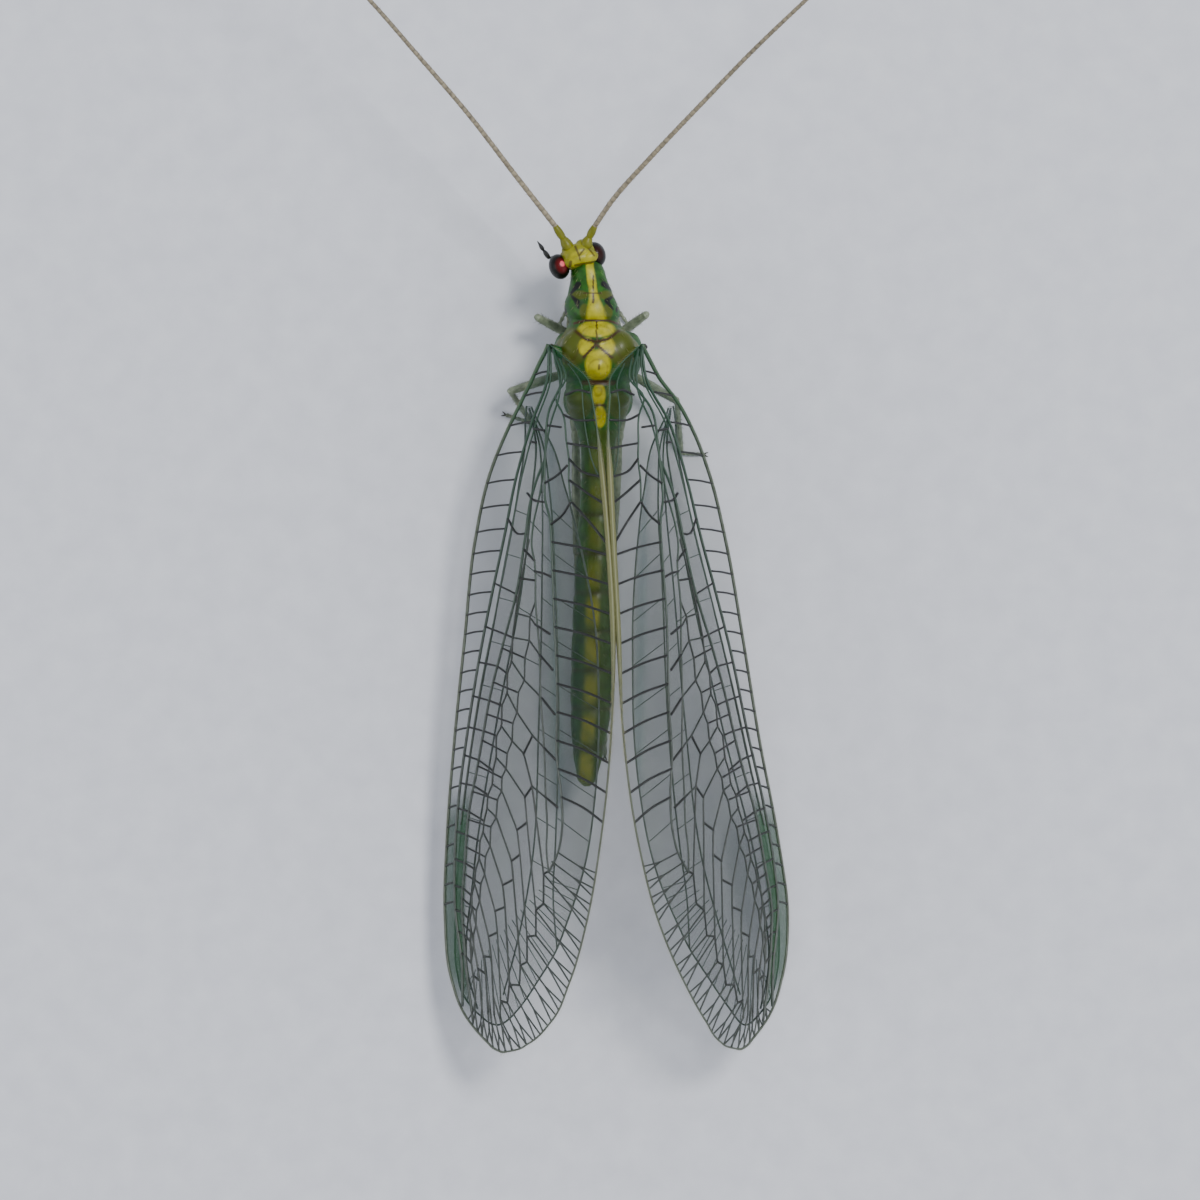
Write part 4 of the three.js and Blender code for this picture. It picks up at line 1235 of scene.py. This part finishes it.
hindVenation = dict(
    # long veins as (y, share across)
    longs=dict(
        sector=[(1.3, 0.5), (2, 0.42), (3, 0.3), (5, 0.24), (8, 0.17), (11, 0.13), (13, 0.13), (13.7, 0.1)],
        media=[
            (1.3, 0.5), (2, 0.55), (3, 0.5), (5, 0.47), (8, 0.52), (10.5, 0.58), (12.3, 0.6),
            (13.4, 0.62),
        ],
        cubitus=[
            (1.3, 0.5), (2, 0.68), (3, 0.66), (5, 0.62), (8, 0.68), (10.2, 0.74), (11.4, 0.82), (12.4, 1.0),
        ],
    ),
    longRadius=0.02,
    thinRadius=0.01,
    ladderStart=3.4,
    ladderStep=0.9,
    ladderCount=10,
    # branches to the margin, and between which places they end, as distances round the margin
    # from the wing tip towards the inner edge
    branches=20,
    branchesFrom=3.4,
    branchesTo=-1.0,
)


def hindwingVeins(wing):
    # fewer and paler veins: three long ones, a ladder between them and branches to the margin
    longs, thin = hindVenation["longs"], hindVenation["thinRadius"]
    shapes = []
    for chain in longs.values():
        path = chainOnWing(wing, chain, True)
        shapes.append(markVein(pathTube(path, hindVenation["longRadius"], veinSides), "hind"))
    for k in range(hindVenation["ladderCount"]):
        y = hindVenation["ladderStart"] + hindVenation["ladderStep"] * k
        chains = [[(y, 0.0), onVein("sector", y + 0.12, longs)]]
        if y < 6.5:
            chains.append([onVein("sector", y + 0.2, longs), onVein("media", y + 0.5, longs)])
        if y < 11.2:
            chains.append([onVein("media", y, longs), onVein("cubitus", y + 0.25, longs)])
        if y < 10.4:
            chains.append([onVein("cubitus", y, longs), (y + 0.5, 1.0)])
        for chain in chains:
            path = chainOnWing(wing, chain, True)
            shapes.append(markVein(pathTube(path, thin, veinSides), "hind"))
    step = 0.02
    route = marginRoute(wing, True, step)
    tipAt = int(np.argmax(route[:, 0]))
    reach = np.linspace(hindVenation["branchesFrom"], hindVenation["branchesTo"], hindVenation["branches"])
    ends = (tipAt + reach / step).astype(int)
    for k, end in enumerate(ends):
        s = k / (len(ends) - 1)
        start = planOf(wing, 11.0 + 2.0 * s, 0.74 - 0.55 * s, True)
        path = planChain(wing, [start, route[end]], True)
        shapes.append(markVein(pathTube(path, thin, veinSides), "hind"))
    margin = placeOnWing(wing, marginRoute(wing, True, 0.07), True)
    shapes.append(markVein(pathTube(margin, hindVenation["longRadius"], veinSides), "margin"))
    return joinShapes(shapes)


def wingHairs(wing):
    # fine hairs along the margin, leaning towards the tip, and thick down on the ridge
    edge = marginRoute(wing, step=0.045)
    ridge = marginRoute(wing, step=0.016)
    inner = np.arange(len(ridge)) > int(np.argmax(ridge[:, 0]))
    ridge = ridge[inner & (ridge[:, 0] > 2.1) & (ridge[:, 0] < 8.5)]
    shapes = []
    for route, short, long, radius in ((edge, 0.07, 0.13, 0.004), (ridge, 0.06, 0.12, 0.0032)):
        tangent = unit(np.gradient(route, axis=0))
        outward = np.column_stack([-tangent[:, 1], tangent[:, 0]])
        if route is ridge:
            outward = outward * dice.choice([-1, 1], len(route))[:, None]
        ahead = np.sign(tangent[:, :1]) * tangent
        lean = outward + ahead * 0.9
        rise = dice.uniform(-0.3, 0.7, len(route)) + (0.6 if route is ridge else 0.0)
        direction = np.column_stack([lean[:, 1] * wing["side"], lean[:, 0], rise])
        points = placeOnWing(wing, route) + [0, 0, 0.03 if route is ridge else 0.0]
        shapes.append(hairs(points, direction, dice.uniform(short, long, len(route)), radius, 0.0))
    return joinShapes(shapes)


def wingRoot(side):
    # the small hard joint that the wing turns on: it tapers from the side of the thorax up to
    # the front corner of the wing, and is darkest there
    path = sampled([(side * 0.6, 0.22, 2.2), (side * 0.82, 0.14, 2.36), (side * 0.99, 0.02, 2.44)], 0.02)
    shape = bead(path, [0.13, 0.15, 0.12, 0.09, 0.05], 20)
    out = np.abs(shape["points"][:, 0])
    return marked(shape, black=np.clip((out - 0.84) / 0.12, 0, 1), teal=0.9)


for sideName in ("left", "right"):
    wing = wings[sideName]
    for kind, hind in (("forewing", False), ("hindwing", True)):
        film = membrane(wing, hind)
        node = kind + "_" + sideName
        addPiece(kind + "Film." + sideName, film, materials["membrane"], (node,))
    addPiece("forewingVeins." + sideName, forewingVeins(wing), materials["vein"], ())
    addPiece("hindwingVeins." + sideName, hindwingVeins(wing), materials["vein"], ())
    addPiece("wingRoot." + sideName, wingRoot(wing["side"]), materials["body"], ())
    fringe = marked(wingHairs(wing), black=0.0)
    addPiece("wingFringe." + sideName, fringe, materials["paleHair"], ())
print("wings made")


# Legs: coxa, trochanter, femur, tibia, five foot joints and two claws

legs = dict(
    # radii along each joint, from its root on
    coxa=[0.15, 0.19, 0.17, 0.1],
    trochanter=[0.06, 0.1, 0.1, 0.06],
    femur=[0.06, 0.088, 0.096, 0.095, 0.086, 0.078],
    tibia=[0.06, 0.055, 0.058, 0.055, 0.05],
    footJoints=5,
    footJoint=[0.028, 0.034, 0.04, 0.044, 0.03],
    shinHairs=150,
    thighHairs=110,
    # root, hip, knee, ankle, toe
    courses=dict(
        front_left=[
            (0.42, -0.84, 1.05), (0.56, -0.24, 0.72), (1.26, -0.6, 1.16), (0.84, -0.42, 0.28),
            (0.56, -0.96, 0.16),
        ],
        front_right=[
            (-0.18, -0.84, 1.05), (-0.4, -0.24, 0.72), (-1.0, -0.66, 1.16), (-0.66, -0.42, 0.28),
            (-0.3, -0.96, 0.16),
        ],
        middle_left=[
            (0.46, 0.44, 0.9), (0.6, 0.52, 0.66), (1.82, 0.93, 1.1), (1.38, 1.57, 0.24),
            (1.92, 1.4, 0.16),
        ],
        middle_right=[
            (-0.46, 0.44, 0.9), (-0.6, 0.52, 0.66), (-1.63, 1.13, 1.1), (-1.73, 2.2, 0.24),
            (-2.2, 2.22, 0.16),
        ],
        hind_left=[
            (0.4, 1.34, 0.9), (0.46, 1.74, 0.68), (0.44, 4.3, 0.62), (0.4, 7.2, 0.3), (0.44, 8.5, 0.16),
        ],
        hind_right=[
            (-0.4, 1.34, 0.9), (-0.44, 1.74, 0.68), (-0.3, 4.3, 0.62), (-0.18, 7.2, 0.3),
            (-0.14, 8.5, 0.16),
        ],
    ),
)


def makeLeg(course):
    # beads between the joints of the course, each with its own row of radii, then the foot joints,
    # two claws and fine hairs that lean along the shin and the thigh
    root, hip, knee, ankle, toe = np.array(course, float)
    ankle = ankle * [1, 1, 0] + [0, 0, 0.1]
    toe = toe * [1, 1, 0] + [0, 0, 0.05]
    shapes = [
        bead(sampled([root + [0, 0, 0.25], root, hip], 0.03), legs["coxa"], 18),
        bead(sampled([hip + (root - hip) * 0.2, hip + (knee - hip) * 0.1], 0.02), legs["trochanter"], 16),
        bead(sampled([hip, knee], 0.03), legs["femur"], 16),
        bead(sampled([knee - unit(ankle - knee) * 0.03, ankle], 0.03), legs["tibia"], 14),
    ]
    count = legs["footJoints"]
    for k in range(count):
        start = ankle + (toe - ankle) * k / count
        end = ankle + (toe - ankle) * (k + 1) / count
        joint = bead(sampled([start, end], 0.015), legs["footJoint"], 12)
        shapes.append(marked(joint, black=0.05 + 0.1 * k))
    forward = unit(toe - ankle)
    sideways = np.cross(forward, [0, 0, 1.0])
    for turn in (-1, 1):
        bend = toe + forward * 0.05 + sideways * turn * 0.03 + [0, 0, 0.01]
        point = toe + forward * 0.09 + sideways * turn * 0.045 - [0, 0, 0.03]
        claw = bead(sampled([toe, bend, point], 0.012), [0.018, 0.014, 0.006], 8)
        shapes.append(marked(claw, black=0.9))
    onShin, onThigh = legs["shinHairs"], legs["thighHairs"]
    shin = knee + (ankle - knee) * dice.uniform(0.05, 0.98, onShin)[:, None]
    thigh = hip + (knee - hip) * dice.uniform(0.15, 0.95, onThigh)[:, None]
    roots = np.concatenate([shin, thigh])
    shinAxis = np.repeat((ankle - knee)[None], onShin, 0)
    thighAxis = np.repeat((knee - hip)[None], onThigh, 0)
    axis = unit(np.concatenate([shinAxis, thighAxis]))
    outward = unit(np.cross(axis, dice.normal(size=(onShin + onThigh, 3))))
    radius = np.concatenate([np.full(onShin, 0.05), np.full(onThigh, 0.08)])[:, None]
    lengths = dice.uniform(0.06, 0.12, onShin + onThigh)
    down = hairs(roots + outward * radius, outward * 0.6 + axis * 0.8, lengths, 0.004, 0.0)
    return joinShapes(shapes + [marked(down, black=0.4)])


for legName, course in legs["courses"].items():
    addPiece("limb." + legName, makeLeg(course), materials["leg"], ("leg_" + legName,))
print("legs made")


# Down on the thorax and abdomen

def bodyDown(count):
    # hairs at random points of the skin, away from its axis and leaning back
    rows = dice.integers(8, bodyRings.shape[0] - 8, count)
    columns = dice.integers(0, bodyRings.shape[1], count)
    roots = bodyRings[rows, columns]
    axisZ = splineAt(body["rings"], roots[:, 1])[:, 1]
    outward = unit(roots - np.column_stack([bodyAxisX[rows, 0], roots[:, 1], axisZ]))
    return hairs(roots, outward + [0, 0.8, 0.0], dice.uniform(0.06, 0.14, count), 0.0035, 0.1)


addPiece("bodyDown", marked(bodyDown(1000), black=0.0), materials["paleHair"], ())


# Floor, light and camera

def floorPaper():
    # Matt studio paper: pale, fibrous, with no gloss
    material, tree, output = newMaterial("studioPaper")
    fibres = rangeOf(tree, grainOf(tree, 0.6), 0.3, 0.7)
    colour = mixColours(tree, fibres, hexColour("D3D4DA"), hexColour("DBDCE1"))
    shader = addNode(tree, "ShaderNodeBsdfPrincipled", None, {"Base Color": colour, "Roughness": 0.9})
    tree.links.new(shader.outputs[0], output.inputs["Surface"])
    return material


def addFloor():
    # one large square at the height of the feet
    mesh = bpy.data.meshes.new("floor")
    half = 0.6
    corners = [(-half, -half, 0), (half, -half, 0), (half, half, 0), (-half, half, 0)]
    mesh.from_pydata(corners, [], [(0, 1, 2, 3)])
    mesh.materials.append(floorPaper())
    floor = bpy.data.objects.new("floor", mesh)
    bpy.context.scene.collection.objects.link(floor)


def addLight(name, place, size, power, target=(0, 0, 0)):
    # a soft round lamp, turned to face its target
    light = bpy.data.lights.new(name, "AREA")
    light.shape = "DISK"
    light.size = size
    light.energy = power
    lamp = bpy.data.objects.new(name, light)
    lamp.location = place
    toward = np.array(target) - np.array(place)
    flat = math.hypot(toward[0], toward[1])
    lamp.rotation_euler = (math.atan2(flat, -toward[2]), 0, math.atan2(toward[1], toward[0]) - math.pi / 2)
    bpy.context.scene.collection.objects.link(lamp)


camera = dict(
    aim=(-0.04, 5.25, 2.0),  # the middle of the picture, from the hinge
    distance=200.0,
    fieldWidth=24.72,  # what the picture spans at the height of the aim
)


def addCamera():
    # straight down, with the head towards the top of the picture
    data = bpy.data.cameras.new("camera")
    data.sensor_width = 36
    data.lens = 36 * camera["distance"] / camera["fieldWidth"]
    data.clip_start = 0.001
    data.clip_end = 10
    view = bpy.data.objects.new("camera", data)
    place = np.array(camera["aim"]) * mm + hinge
    view.location = place + [0, 0, camera["distance"] * mm]
    view.rotation_euler = (0, 0, math.pi)
    bpy.context.scene.collection.objects.link(view)
    bpy.context.scene.camera = view


addFloor()
addLight("key", (-0.12, -0.1, 0.3), 0.08, 0.75)
addLight("fillLeft", (0.3, 0.05, 0.16), 0.25, 0.25)
addLight("fillRight", (-0.3, 0.1, 0.2), 0.25, 0.2)
world = bpy.data.worlds.new("studio")
world.use_nodes = True
world.node_tree.nodes["Background"].inputs["Color"].default_value = hexColour("DCE2EC")
world.node_tree.nodes["Background"].inputs["Strength"].default_value = 0.85
bpy.context.scene.world = world
addCamera()
print("stage set")
